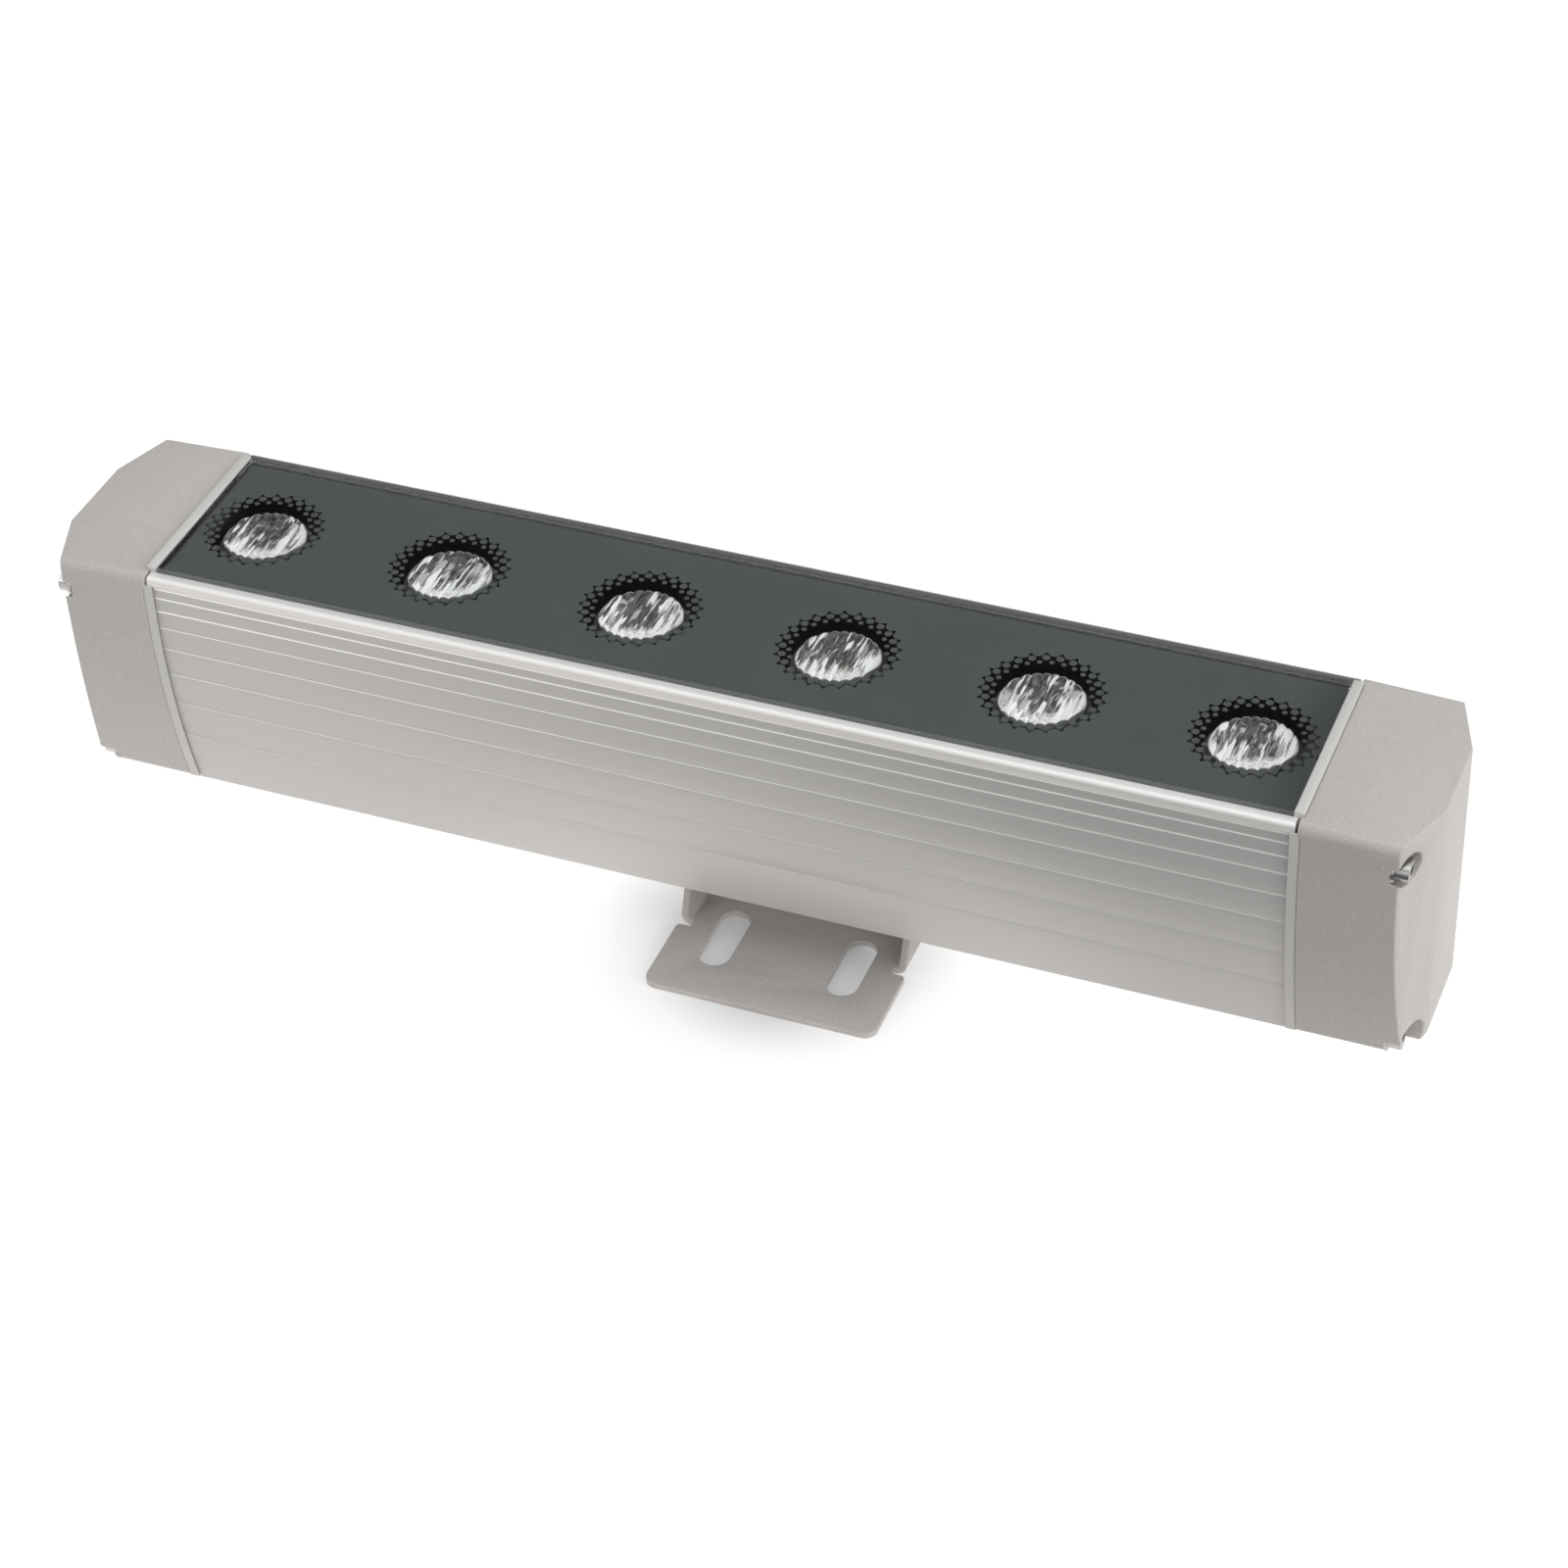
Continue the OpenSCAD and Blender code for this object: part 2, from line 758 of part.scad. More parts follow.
// A wire: a tube of eight sides swept along its route, which is rounded by quadratic curves
function mid(a, b) = (a + b) / 2;
function curve(a, b, c, t) = (1 - t) * (1 - t) * a + 2 * t * (1 - t) * b + t * t * c;
function corner(route, i, steps) = [for (k = [0 : steps])
    curve(mid(route[i - 1], route[i]), route[i], mid(route[i], route[i + 1]), k / steps)];
function rounded(route, steps) = [route[0],
    for (i = [1 : len(route) - 2]) each corner(route, i, steps), route[len(route) - 1]];
function unit(v) = v / norm(v);
function tangent(points, i) = unit(points[min(i + 1, len(points) - 1)] - points[max(i - 1, 0)]);
function ring(p, u, v, r, sides) = [for (k = [0 : sides - 1])
    p + r * (cos(k * 360 / sides) * u + sin(k * 360 / sides) * v)];
function wire_ring(p, d, r, sides) = let (u = unit(cross(d, [1, 2, 4]))) ring(p, u, cross(d, u), r, sides);

module wire(route, r) {
    sides = 8;
    points = rounded(route, 4);
    last = len(points) - 1;
    start = [for (k = [0 : sides - 1]) k];
    end = [for (k = [sides - 1 : -1 : 0]) last * sides + k];
    walls = [for (a = [0 : sides : (last - 1) * sides], k = [0 : sides - 1]) let (m = (k + 1) % sides)
        [a + k, a + sides + k, a + sides + m, a + m]];
    polyhedron([for (i = [0 : last]) each wire_ring(points[i], tangent(points, i), r, sides)],
        concat([start], walls, [end]));
}

// Two wires from the terminals to the driver
module mains_wires() {
    x0 = terminal_x + terminal_l / 4;
    x1 = driver_x - driver_l / 2 + wire_lift / 2;
    lead = 2 * terminal_pole;
    color([0.45, 0.3, 0.2]) on_tray() for (s = [-1, 1]) let (y0 = s * terminal_pole, y1 = s * driver_w / 4)
        wire([[x0, y0, terminal_h / 2], [x0 + lead, y0, terminal_h / 2],
            [x1 - lead, y1, driver_h / 2], [x1, y1, driver_h / 2]], wire_r);
}

// Two wires from the driver, round the end of the shelf and in at the board's connector
module led_wires() {
    x0 = driver_x + driver_l / 2 - wire_lift / 2;
    x1 = connector_x - connector_l / 4;
    turn_x = cap_x + 2 * wire_lift;
    lead = 4 * wire_lift;
    low_z = driver_h / 2;
    high_z = board_z - tray_z - tray_t + connector_h / 2;
    color([0.7, 0.1, 0.1]) on_tray()
        for (s = [-1, 1]) let (y0 = s * driver_w / 4, y1 = connector_y + s * connector_w / 4)
            wire([[x0, y0, low_z], [x0 + lead, y0, low_z], [cap_x - lead, y1, low_z],
                [turn_x, y1, low_z], [turn_x, y1, high_z], [x1, y1, high_z]], wire_r);
}

// One wire from the middle terminal to the earth screw on the tray
module earth_wire() {
    x0 = terminal_x + terminal_l / 4;
    x1 = earth_x - earth_r - fit_gap;
    lead = terminal_l / 2 + 2 * over;
    color([0.3, 0.6, 0.2]) on_tray()
        wire([[x0, 0, terminal_h / 2], [x0 + lead, 0, terminal_h / 2],
            [x1 - terminal_pole / 2, earth_y, wire_r], [x1, earth_y, wire_r]], wire_r);
}

// Cable gland in the left end

gland_z = 36;
gland_thread_r = 6;
gland_boss_r = 8.5;
gland_thread_l = 7.5;
gland_hex_r = 8;
gland_flange = 2.5;
gland_nut_l = 7;
gland_seal_t = 1.3;
gland_dome = 1.5;

module at_gland() {
    head() translate([-cap_end, 0, gland_z]) mirror([1, 0, 0]) children();
}

module gland_body() {
    color([0.15, 0.15, 0.15]) at_gland() difference() {
        union() {
            round_x(-gland_thread_l, 0, gland_thread_r);
            rotate([0, 90, 0]) cylinder(r = gland_hex_r, h = gland_flange, $fn = 6);
        }
        round_x(-gland_thread_l - over, gland_flange + over, cable_d / 2 + gland_seal_t);
    }
}

module gland_seal() {
    x1 = gland_flange + gland_nut_l - gland_dome;
    color([0.1, 0.1, 0.1]) at_gland() difference() {
        round_x(-gland_thread_l / 2, x1, cable_d / 2 + gland_seal_t - fit_gap);
        round_x(-gland_thread_l, x1 + over, cable_d / 2);
    }
}

module gland_nut() {
    color([0.15, 0.15, 0.15]) at_gland() translate([gland_flange, 0, 0]) difference() {
        rotate([0, 90, 0]) intersection() {
            cylinder(r = gland_hex_r, h = gland_nut_l, $fn = 6);
            rotate_extrude()
                polygon([[0, 0], [gland_hex_r, 0], [gland_hex_r, gland_nut_l - gland_dome * 2],
                    [gland_hex_r - gland_dome, gland_nut_l], [0, gland_nut_l]]);
        }
        round_x(-over, gland_nut_l - gland_dome, cable_d / 2 + gland_seal_t);
        round_x(0, gland_nut_l + over, cable_d / 2 + seat_gap);
    }
}

// Saddle: a folded strip that tilts in the bracket and slides along the channel

// Where the line from p touches a circle of radius r about c, on the right-hand side
function touch(p, c, r) = let (d = p - c, a = atan2(d[1], d[0]) + acos(r / norm(d)))
    c + r * [cos(a), sin(a)];

// Half of a folded U: sheet, bend and ear, in X and Z, with the ear's outer face at x
module fold(x, z_end) {
    square([x - bend_out_r, sheet_t]);
    translate([x - bend_out_r, bend_out_r]) intersection() {
        difference() {
            circle(r = bend_out_r);
            circle(r = bend_r);
        }
        translate([0, -bend_out_r]) square(bend_out_r);
    }
    translate([x - sheet_t, bend_out_r]) square([sheet_t, z_end - bend_out_r]);
}

module folded_u(x, z_end) {
    for (s = [-1, 1]) scale([s, 1]) fold(x, z_end);
}

// An ear's outline in Y and Z: straight foot, sloping sides, round end about the axis at height z
module ear_outline(half, foot, z, r) {
    t = touch([half, foot], [0, z], r);
    polygon([[-half, 0], [half, 0], [half, foot], t, [-t[0], t[1]], [-half, foot]]);
    translate([0, z]) circle(r = r);
}

module saddle() {
    drop = saddle_top - axis_z;
    color([0.7, 0.7, 0.7]) translate([0, axis_y, saddle_top]) mirror([0, 0, 1]) difference() {
        intersection() {
            across(-saddle_half_y, saddle_half_y) folded_u(saddle_out, drop + saddle_ear_r);
            along(-saddle_out, saddle_out) ear_outline(saddle_half_y, bend_out_r, drop, saddle_ear_r);
        }
        translate([0, 0, drop]) round_x(-saddle_out - over, saddle_out + over, pivot_hole_r);
        for (s = [-1, 1]) translate([s * saddle_screw_x, 0, -over])
            cylinder(r = pivot_hole_r, h = sheet_t + 2 * over);
    }
}

saddle_washer_t = 1;
saddle_washer_r = 5;
button_r = 4.6;
button_h = 2.8;

module at_saddle_screws(z) {
    for (s = [-1, 1]) translate([s * saddle_screw_x, axis_y, z]) children();
}

module saddle_washers() {
    color([0.8, 0.8, 0.8]) at_saddle_screws(saddle_top - sheet_t - saddle_washer_t) difference() {
        cylinder(r = saddle_washer_r, h = saddle_washer_t);
        translate([0, 0, -over]) cylinder(r = pivot_hole_r, h = saddle_washer_t + 2 * over);
    }
}

module saddle_screws() {
    length = saddle_washer_t + sheet_t + slide_gap + lip_t + slide_gap + nut_h;
    color([0.8, 0.8, 0.8]) at_saddle_screws(saddle_top - sheet_t - saddle_washer_t)
        mirror([0, 0, 1]) screw_down(button_r, button_h, pivot_r, length);
}

module channel_nuts() {
    color([0.8, 0.8, 0.8]) at_saddle_screws(head_z + lip_t + slide_gap) difference() {
        translate([-nut_w / 2, -nut_w / 2, 0]) cube([nut_w, nut_w, nut_h]);
        translate([0, 0, -over]) cylinder(r = pivot_r + fit_gap, h = nut_h + 2 * over);
    }
}

// Wall bracket

module slot() {
    for (s = [-1, 1]) translate([0, s * (slot_l - slot_w) / 2]) circle(r = slot_w / 2);
    square([slot_w, slot_l - slot_w], center = true);
}

module rounded_corner_cut(r) {
    difference() {
        square(r + over);
        circle(r = r);
    }
}

module plate_outline() {
    difference() {
        union() {
            translate([-half_plate, plate_y0]) square([plate_w, plate_front]);
            translate([bend_out_r - ear_out, plate_y0])
                square([2 * (ear_out - bend_out_r), plate_back - plate_y0]);
        }
        for (s = [-1, 1]) scale([s, 1]) {
            translate([half_plate - plate_corner_r, plate_y0 + plate_corner_r]) scale([1, -1])
                rounded_corner_cut(plate_corner_r);
            translate([half_plate - back_corner_r, plate_y1 - back_corner_r])
                rounded_corner_cut(back_corner_r);
            translate([half_plate - relief_depth + relief_r, plate_y1 + relief_r]) {
                circle(r = relief_r);
                translate([0, -relief_r]) square([relief_depth, relief_w]);
            }
        }
        for (s = [-1, 1]) translate([s * slot_pitch / 2, 0]) slot();
    }
}

module base_bracket() {
    color([0.62, 0.61, 0.6]) difference() {
        union() {
            linear_extrude(sheet_t) plate_outline();
            translate([0, axis_y, 0]) intersection() {
                across(-ear_half, ear_half) difference() {
                    folded_u(ear_out, axis_z + ear_r);
                    translate([bend_out_r - ear_out, -over])
                        square([2 * (ear_out - bend_out_r), sheet_t + 2 * over]);
                }
                along(-ear_out, ear_out) ear_outline(ear_half, bend_out_r, axis_z, ear_r);
            }
        }
        translate([0, axis_y, axis_z]) round_x(-ear_out - over, ear_out + over, pivot_hole_r);
    }
}

pivot_washer_t = 1;
pivot_washer_r = 5.2;
pivot_head_r = 4.4;
pivot_head_h = 3.2;
pivot_nut_r = 4.62;
pivot_nut_h = 4.7;
disc_t = 1;
disc_r = 6.3;

module at_pivots(x) {
    for (s = [0, 1]) translate([0, axis_y, axis_z]) mirror([s, 0, 0]) translate([x, 0, 0]) children();
}

module ring_x(t, r) {
    difference() {
        round_x(0, t, r);
        round_x(-over, t + over, pivot_hole_r);
    }
}

module pivot_washers() {
    color([0.8, 0.8, 0.8]) at_pivots(ear_out) ring_x(pivot_washer_t, pivot_washer_r);
}

module friction_discs() {
    color([0.9, 0.9, 0.88]) at_pivots(ear_in - disc_t) ring_x(disc_t, disc_r);
}

module pivot_screws() {
    length = pivot_washer_t + ear_out - saddle_out + sheet_t + slide_gap + pivot_nut_h + over / 2;
    color([0.8, 0.8, 0.8]) at_pivots(ear_out + pivot_washer_t)
        screw_x(pivot_head_r, pivot_head_h, pivot_r, length);
}

module pivot_nuts() {
    color([0.8, 0.8, 0.8]) at_pivots(saddle_out - sheet_t - slide_gap - pivot_nut_h) difference() {
        rotate([0, 90, 0]) cylinder(r = pivot_nut_r, h = pivot_nut_h, $fn = 6);
        round_x(-over, pivot_nut_h + over, pivot_r + fit_gap);
    }
}

base_bracket();
pivot_screws();
pivot_washers();
friction_discs();
pivot_nuts();
saddle();
saddle_screws();
saddle_washers();
channel_nuts();
extrusion();
front_glass();
glass_print();
glass_seal();
left_end_cap();
right_end_cap();
left_end_gasket();
right_end_gasket();
end_cap_screws();
end_cap_washers();
thermal_pad();
led_board();
board_screws();
board_connector();
led(1);  // led_1
led(2);  // led_2
led(3);  // led_3
led(4);  // led_4
led(5);  // led_5
led(6);  // led_6
lens_holder(1);  // lens_holder_1
lens_holder(2);  // lens_holder_2
lens_holder(3);  // lens_holder_3
lens_holder(4);  // lens_holder_4
lens_holder(5);  // lens_holder_5
lens_holder(6);  // lens_holder_6
lens(1);  // lens_1
lens(2);  // lens_2
lens(3);  // lens_3
lens(4);  // lens_4
lens(5);  // lens_5
lens(6);  // lens_6
light_shield();
driver_tray();
led_driver();
driver_screws();
terminal_block();
terminal_screws();
mains_wires();
led_wires();
earth_screw();
earth_wire();
gland_body();
gland_seal();
gland_nut();
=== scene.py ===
"""Looks of a linear wall floodlight: painted castings, anodised bar, printed glass and lenses.

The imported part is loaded, its pieces are rounded and finished, the print gets its dots, and a
plain studio is set round it.
"""

import json
import math

import bpy
from bpy.props import FloatProperty, FloatVectorProperty, IntProperty, PointerProperty
from mathutils import Matrix, Vector

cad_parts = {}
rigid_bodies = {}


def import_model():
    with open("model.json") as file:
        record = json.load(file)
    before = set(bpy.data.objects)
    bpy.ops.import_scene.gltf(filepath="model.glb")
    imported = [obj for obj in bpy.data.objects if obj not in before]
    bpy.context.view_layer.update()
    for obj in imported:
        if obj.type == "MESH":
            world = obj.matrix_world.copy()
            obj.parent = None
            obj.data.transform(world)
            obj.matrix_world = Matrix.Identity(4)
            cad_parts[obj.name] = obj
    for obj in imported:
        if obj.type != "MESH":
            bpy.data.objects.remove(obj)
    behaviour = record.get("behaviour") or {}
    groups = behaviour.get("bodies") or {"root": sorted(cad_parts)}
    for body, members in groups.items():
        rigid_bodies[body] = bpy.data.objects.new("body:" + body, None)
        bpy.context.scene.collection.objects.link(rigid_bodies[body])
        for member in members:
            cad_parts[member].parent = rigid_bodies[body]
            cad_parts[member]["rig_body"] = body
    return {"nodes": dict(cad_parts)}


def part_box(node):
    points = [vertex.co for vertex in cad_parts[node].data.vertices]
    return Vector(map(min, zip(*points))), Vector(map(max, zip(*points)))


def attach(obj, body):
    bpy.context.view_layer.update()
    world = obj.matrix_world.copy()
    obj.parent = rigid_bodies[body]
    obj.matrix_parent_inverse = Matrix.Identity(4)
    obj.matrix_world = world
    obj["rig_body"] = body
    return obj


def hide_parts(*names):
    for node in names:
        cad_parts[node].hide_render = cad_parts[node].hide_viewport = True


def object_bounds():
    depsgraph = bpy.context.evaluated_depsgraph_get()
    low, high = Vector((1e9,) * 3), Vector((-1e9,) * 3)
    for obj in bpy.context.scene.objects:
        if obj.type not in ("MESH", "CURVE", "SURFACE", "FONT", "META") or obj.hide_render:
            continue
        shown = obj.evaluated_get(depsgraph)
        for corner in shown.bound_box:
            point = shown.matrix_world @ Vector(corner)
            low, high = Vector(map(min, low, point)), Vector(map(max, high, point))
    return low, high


bl_info = {
    "name": "Linear wall floodlight",
    "version": (1, 0, 0),
    "blender": (4, 5, 0),
    "location": "View3D > Sidebar > Floodlight",
    "description": "Finishes the packed floodlight and sets up its studio",
    "category": "Object",
}

for thing in list(bpy.data.objects):
    bpy.data.objects.remove(thing)
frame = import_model()
cad_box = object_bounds()

MM = 0.001
LED_COUNT = 6

# The rounded bead beside the glass, in millimetres
RAIL_RADIUS = 1.25

# Heights of the grooves in the extrusion's side, as shares of its height
GROOVE_SHARES = (0.962, 0.921, 0.861, 0.786, 0.687, 0.565, 0.419, 0.248)

# Keeps the drawn print out of the plane of the glass
PRINT_LIFT = 0.01 * MM

# Points of a CAD mesh that are closer than this are one point
WELD = 0.002 * MM

# Faces of a CAD mesh that meet flatter than this, in degrees, are one face
FLAT = 0.4

# Places of a Mix node's colour sockets, which share their names with its number sockets
MIX_FACTOR, MIX_FIRST, MIX_SECOND, MIX_RESULT = 0, 6, 7, 2

WHITE, BLACK = (1, 1, 1), (0, 0, 0)

# Strength of the white that the camera sees round the part
BACKGROUND = 1.05


# Sizes and colours

def length(name, description, default):
    return FloatProperty(name=name, description=description, default=default * MM,
                         unit="LENGTH", precision=5)


def turn(name, description, default):
    return FloatProperty(name=name, description=description, default=math.radians(default),
                         unit="ROTATION")


def colour(name, description, default):
    return FloatVectorProperty(name=name, description=description, default=default,
                               subtype="COLOR", min=0, max=1)


def brightness(name, description, default):
    return FloatProperty(name=name, description=description, default=default)


class FloodlightSizes(bpy.types.PropertyGroup):
    """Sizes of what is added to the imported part"""
    cast_edge: length("Casting edge", "Rounding of the end caps' edges", 0.45)
    bar_edge: length("Extrusion edge", "Rounding of the extrusion's edges", 0.12)
    sheet_edge: length("Sheet edge", "Rounding of the bracket's and saddle's edges", 0.16)
    lip_edge: length("Gasket edge", "Rounding of the gaskets' edges", 0.15)
    gland_edge: length("Gland edge", "Rounding of the cable gland's edges", 0.2)
    rail_rise: length("Rail rise", "How much taller the rails are drawn than the solid ones", 0.8)
    inner_drop: length("Inner drop", "How much lower a cap's top is drawn at its inner end", 1.35)
    outer_drop: length("Outer drop", "How much lower a cap's top is drawn at its outer end", 2.6)
    slope_depth: length("Slope depth", "Height of the part of the cap that is drawn lower", 18)
    large_dot: length("Large dot", "Diameter of the outer dots of the print", 2.1)
    large_dot_ring: length("Large dot ring",
                           "Distance of the outer dots from the window's middle", 14.4)
    small_dot: length("Small dot", "Diameter of the inner dots of the print", 1.4)
    small_dot_ring: length("Small dot ring",
                           "Distance of the inner dots from the window's middle", 12.6)
    dot_count: IntProperty(name="Dots", description="Dots in each ring", default=25, min=3)
    dot_sides: IntProperty(name="Dot sides", description="Sides of the outline of a dot",
                           default=16, min=8)
    bare_from: turn("Bare from", "Start of the arc without inner dots, over the lens", -146)
    bare_to: turn("Bare to", "End of the arc without inner dots, over the lens", 10)


class FloodlightColours(bpy.types.PropertyGroup):
    """Colours of the finishes"""
    cast_paint: colour("Casting paint", "Textured powder paint of the end caps",
                       (0.47, 0.452, 0.432))
    bracket_paint: colour("Bracket paint", "Powder paint of the bracket", (0.435, 0.412, 0.398))
    anodised: colour("Anodised", "Satin anodised aluminium", (0.552, 0.545, 0.534))
    gasket: colour("Gasket", "Grey rubber of the end gaskets", (0.55, 0.545, 0.53))
    print_ink: colour("Print", "Fired print on the back of the glass", (0.113, 0.123, 0.126))
    zinc: colour("Zinc", "Plated steel of screws and washers", (0.60, 0.60, 0.59))


class FloodlightStudio(bpy.types.PropertyGroup):
    """Camera and light"""
    eye: FloatVectorProperty(name="Eye", description="Place of the camera",
                             subtype="TRANSLATION", unit="LENGTH",
                             default=(0.3126241, -0.7246486, 0.7036829))
    azimuth: turn("Azimuth", "Turn of the camera round the part", 23.2601)
    elevation: turn("Elevation", "Angle at which the camera looks down", 39.1832)
    roll: turn("Roll", "Turn of the camera about its own view", -2.7314)
    lens: FloatProperty(name="Lens", description="Focal length in millimetres", default=90.287)
    key_power: FloatProperty(name="Key power", description="Power of the soft light on the right",
                             default=9.0, unit="POWER")
    roof: brightness("Roof", "Brightness of the room overhead", 0.33)
    box: brightness("Box", "Extra brightness of the soft light overhead and left", 0.9)
    front: brightness("Front", "Brightness of the room low in front", 0.47)
    band: brightness("Band", "Extra brightness of the room in front, above the horizon", 0.35)
    back: brightness("Back", "Brightness of the dark room behind", 0.2)
    right: brightness("Right", "Extra brightness of the room on the right", 1.5)


SIZES, COLOURS, STUDIO = "floodlight_sizes", "floodlight_colours", "floodlight_studio"
GROUPS = {SIZES: FloodlightSizes, COLOURS: FloodlightColours, STUDIO: FloodlightStudio}


def settings(name):
    return getattr(bpy.context.scene, name)


# Shader maths

class Value:
    """A number, colour or vector inside a material, with Python's operators."""

    def __init__(self, finish, socket):
        self.finish = finish
        self.socket = socket

    def maths(self, operation, *given):
        node = self.finish.node("ShaderNodeMath", {"operation": operation},
                                dict(enumerate(given)))
        return Value(self.finish, node.outputs[0])

    def __add__(self, other):
        return self.maths("ADD", self, other)

    __radd__ = __add__

    def __sub__(self, other):
        return self.maths("SUBTRACT", self, other)

    def __rsub__(self, other):
        return self.maths("SUBTRACT", other, self)

    def __mul__(self, other):
        return self.maths("MULTIPLY", self, other)

    __rmul__ = __mul__

    def __neg__(self):
        return self.maths("MULTIPLY", self, -1.0)

    def __lt__(self, other):
        return self.maths("LESS_THAN", self, other)

    def root(self):
        return self.maths("SQRT", self)

    def highest(self, other):
        return self.maths("MAXIMUM", self, other)

    def near(self, other, reach):
        """1 where this number is within reach of the other, and 0 elsewhere."""
        return self.maths("COMPARE", self, other, reach)

    def wrapped(self, low, high):
        return self.maths("WRAP", self, high, low)

    def limited(self, low, high, to_low=0.0, to_high=1.0):
        """This number carried from one range to another, and kept within it."""
        node = self.finish.node("ShaderNodeMapRange", {}, {
            "Value": self, "From Min": low, "From Max": high,
            "To Min": to_low, "To Max": to_high})
        return Value(self.finish, node.outputs["Result"])


class Finish:
    """A node tree, with one way to add a node to it."""

    def __init__(self, tree, end):
        self.tree = tree
        self.tree.nodes.clear()
        self.end = self.node(end)

    def node(self, kind, choices=None, inputs=None):
        """A node with its choices set first, then the numbers or links of its sockets."""
        node = self.tree.nodes.new(kind)
        for name, choice in (choices or {}).items():
            setattr(node, name, choice)
        for name, given in (inputs or {}).items():
            self.put(node.inputs[name], given)
        return node

    def put(self, socket, given):
        if isinstance(given, Value):
            self.tree.links.new(given.socket, socket)
        elif socket.type == "RGBA":
            socket.default_value = (*given, 1)
        else:
            socket.default_value = given

    def out(self, node, name=0):
        return Value(self, node.outputs[name])

    def show(self, shader):
        """Ends the tree in a shader node."""
        self.tree.links.new(shader.outputs[0], self.end.inputs["Surface"])

    def mix(self, factor, first, second):
        """A colour between two colours."""
        node = self.node("ShaderNodeMix", {"data_type": "RGBA"}, {
            MIX_FACTOR: factor, MIX_FIRST: first, MIX_SECOND: second})
        return self.out(node, MIX_RESULT)

    def blend(self, factor, first, second):
        """A shader between two shader nodes."""
        mixer = self.node("ShaderNodeMixShader", {}, {0: factor})
        for socket, shader in zip(mixer.inputs[1:], (first, second)):
            self.tree.links.new(shader.outputs[0], socket)
        return mixer

    def by_ray(self, kind, shader, other):
        """One shader node for rays of a kind, and another for all other rays."""
        ray = self.node("ShaderNodeLightPath")
        return self.blend(self.out(ray, kind), other, shader)

    def glow(self, kind, strength, tint=WHITE):
        """An Emission or Background node."""
        return self.node(kind, {}, {"Color": tint, "Strength": strength})

    def millimetres(self, stretch=(1, 1, 1)):
        """Where the surface is, in millimetres."""
        place = self.out(self.node("ShaderNodeTexCoord"), "Object")
        scale = tuple(share / MM for share in stretch)
        return self.out(self.node("ShaderNodeMapping", {}, {"Vector": place, "Scale": scale}))

    def parts(self, vector):
        """The three numbers of a vector."""
        node = self.node("ShaderNodeSeparateXYZ", {}, {0: vector})
        return [self.out(node, name) for name in "XYZ"]

    def toned(self, base, tone):
        """The base colour, made darker and lighter by a number about 1."""
        node = self.node("ShaderNodeVectorMath", {"operation": "SCALE"}, {0: base, "Scale": tone})
        return self.out(node)

    def noise(self, scale, detail=2.0, stretch=(1, 1, 1), roughness=0.5):
        """Soft noise. The scale counts its waves in a millimetre."""
        node = self.node("ShaderNodeTexNoise", {}, {
            "Vector": self.millimetres(stretch), "Scale": scale,
            "Detail": detail, "Roughness": roughness})
        return self.out(node, "Fac")

    def grains(self, scale):
        """Random number of each grain, and the distance from its middle in grains."""
        node = self.node("ShaderNodeTexVoronoi", {}, {
            "Vector": self.millimetres(), "Scale": scale})
        parts = self.node("ShaderNodeSeparateColor", {}, {0: self.out(node, "Color")})
        return self.out(parts), self.out(node, "Distance")


class Material(Finish):
    """A material with a Principled shader."""

    def __init__(self, name, **inputs):
        self.material = bpy.data.materials.new(name)
        self.material.use_nodes = True
        super().__init__(self.material.node_tree, "ShaderNodeOutputMaterial")
        self.shader = self.node("ShaderNodeBsdfPrincipled", {}, {
            key.replace("_", " "): given for key, given in inputs.items()})
        self.show(self.shader)

    def surface(self, tint, roughness):
        """What changes over the surface."""
        self.put(self.shader.inputs["Base Color"], tint)
        self.put(self.shader.inputs["Roughness"], roughness)

    def bump(self, height, depth):
        """Raises the surface by that depth in millimetres where the height is 1."""
        node = self.node("ShaderNodeBump", {}, {"Height": height, "Distance": depth * MM})
        self.put(self.shader.inputs["Normal"], self.out(node, "Normal"))

    def clear_to_lamps(self, body):
        """Shadow rays pass the body, so that lamps light what is behind it."""
        self.show(self.by_ray("Is Shadow Ray", self.node("ShaderNodeBsdfTransparent"), body))


def around(middle, *swings):
    """A number about a middle. Each swing is a noise and the range that it moves the number by."""
    level = middle - sum(reach for noise, reach in swings) / 2
    for noise, reach in swings:
        level = noise * reach + level
    return level


def powder_paint(name, base, grain, sparkle):
    """Textured powder paint with fine metal flakes, whose glints are painted as pale specks."""
    paint = Material(name, Specular_IOR_Level=0.4)
    pebble = paint.noise(grain, detail=3.0, roughness=0.6)
    cloud = paint.noise(0.03, detail=1.0)
    number, distance = paint.grains(1.9)
    # The flakes' glints are painted: pale specks in the base colour, glossier than the paint
    flake_reach, flake_strength, flake_gloss = 0.25, 0.7, 0.2
    painted_glint_colour = (0.95, 0.95, 0.93)
    flake = number.limited(1 - sparkle, 1.0, 0.0, flake_strength) * (distance < flake_reach)
    ground = paint.toned(base, around(1.0, (pebble, 0.32), (cloud, 0.05)))
    paint.surface(paint.mix(flake, ground, painted_glint_colour),
                  flake * -flake_gloss + around(0.55, (pebble, 0.1)))
    paint.bump(pebble, depth=0.05)
    return paint.material


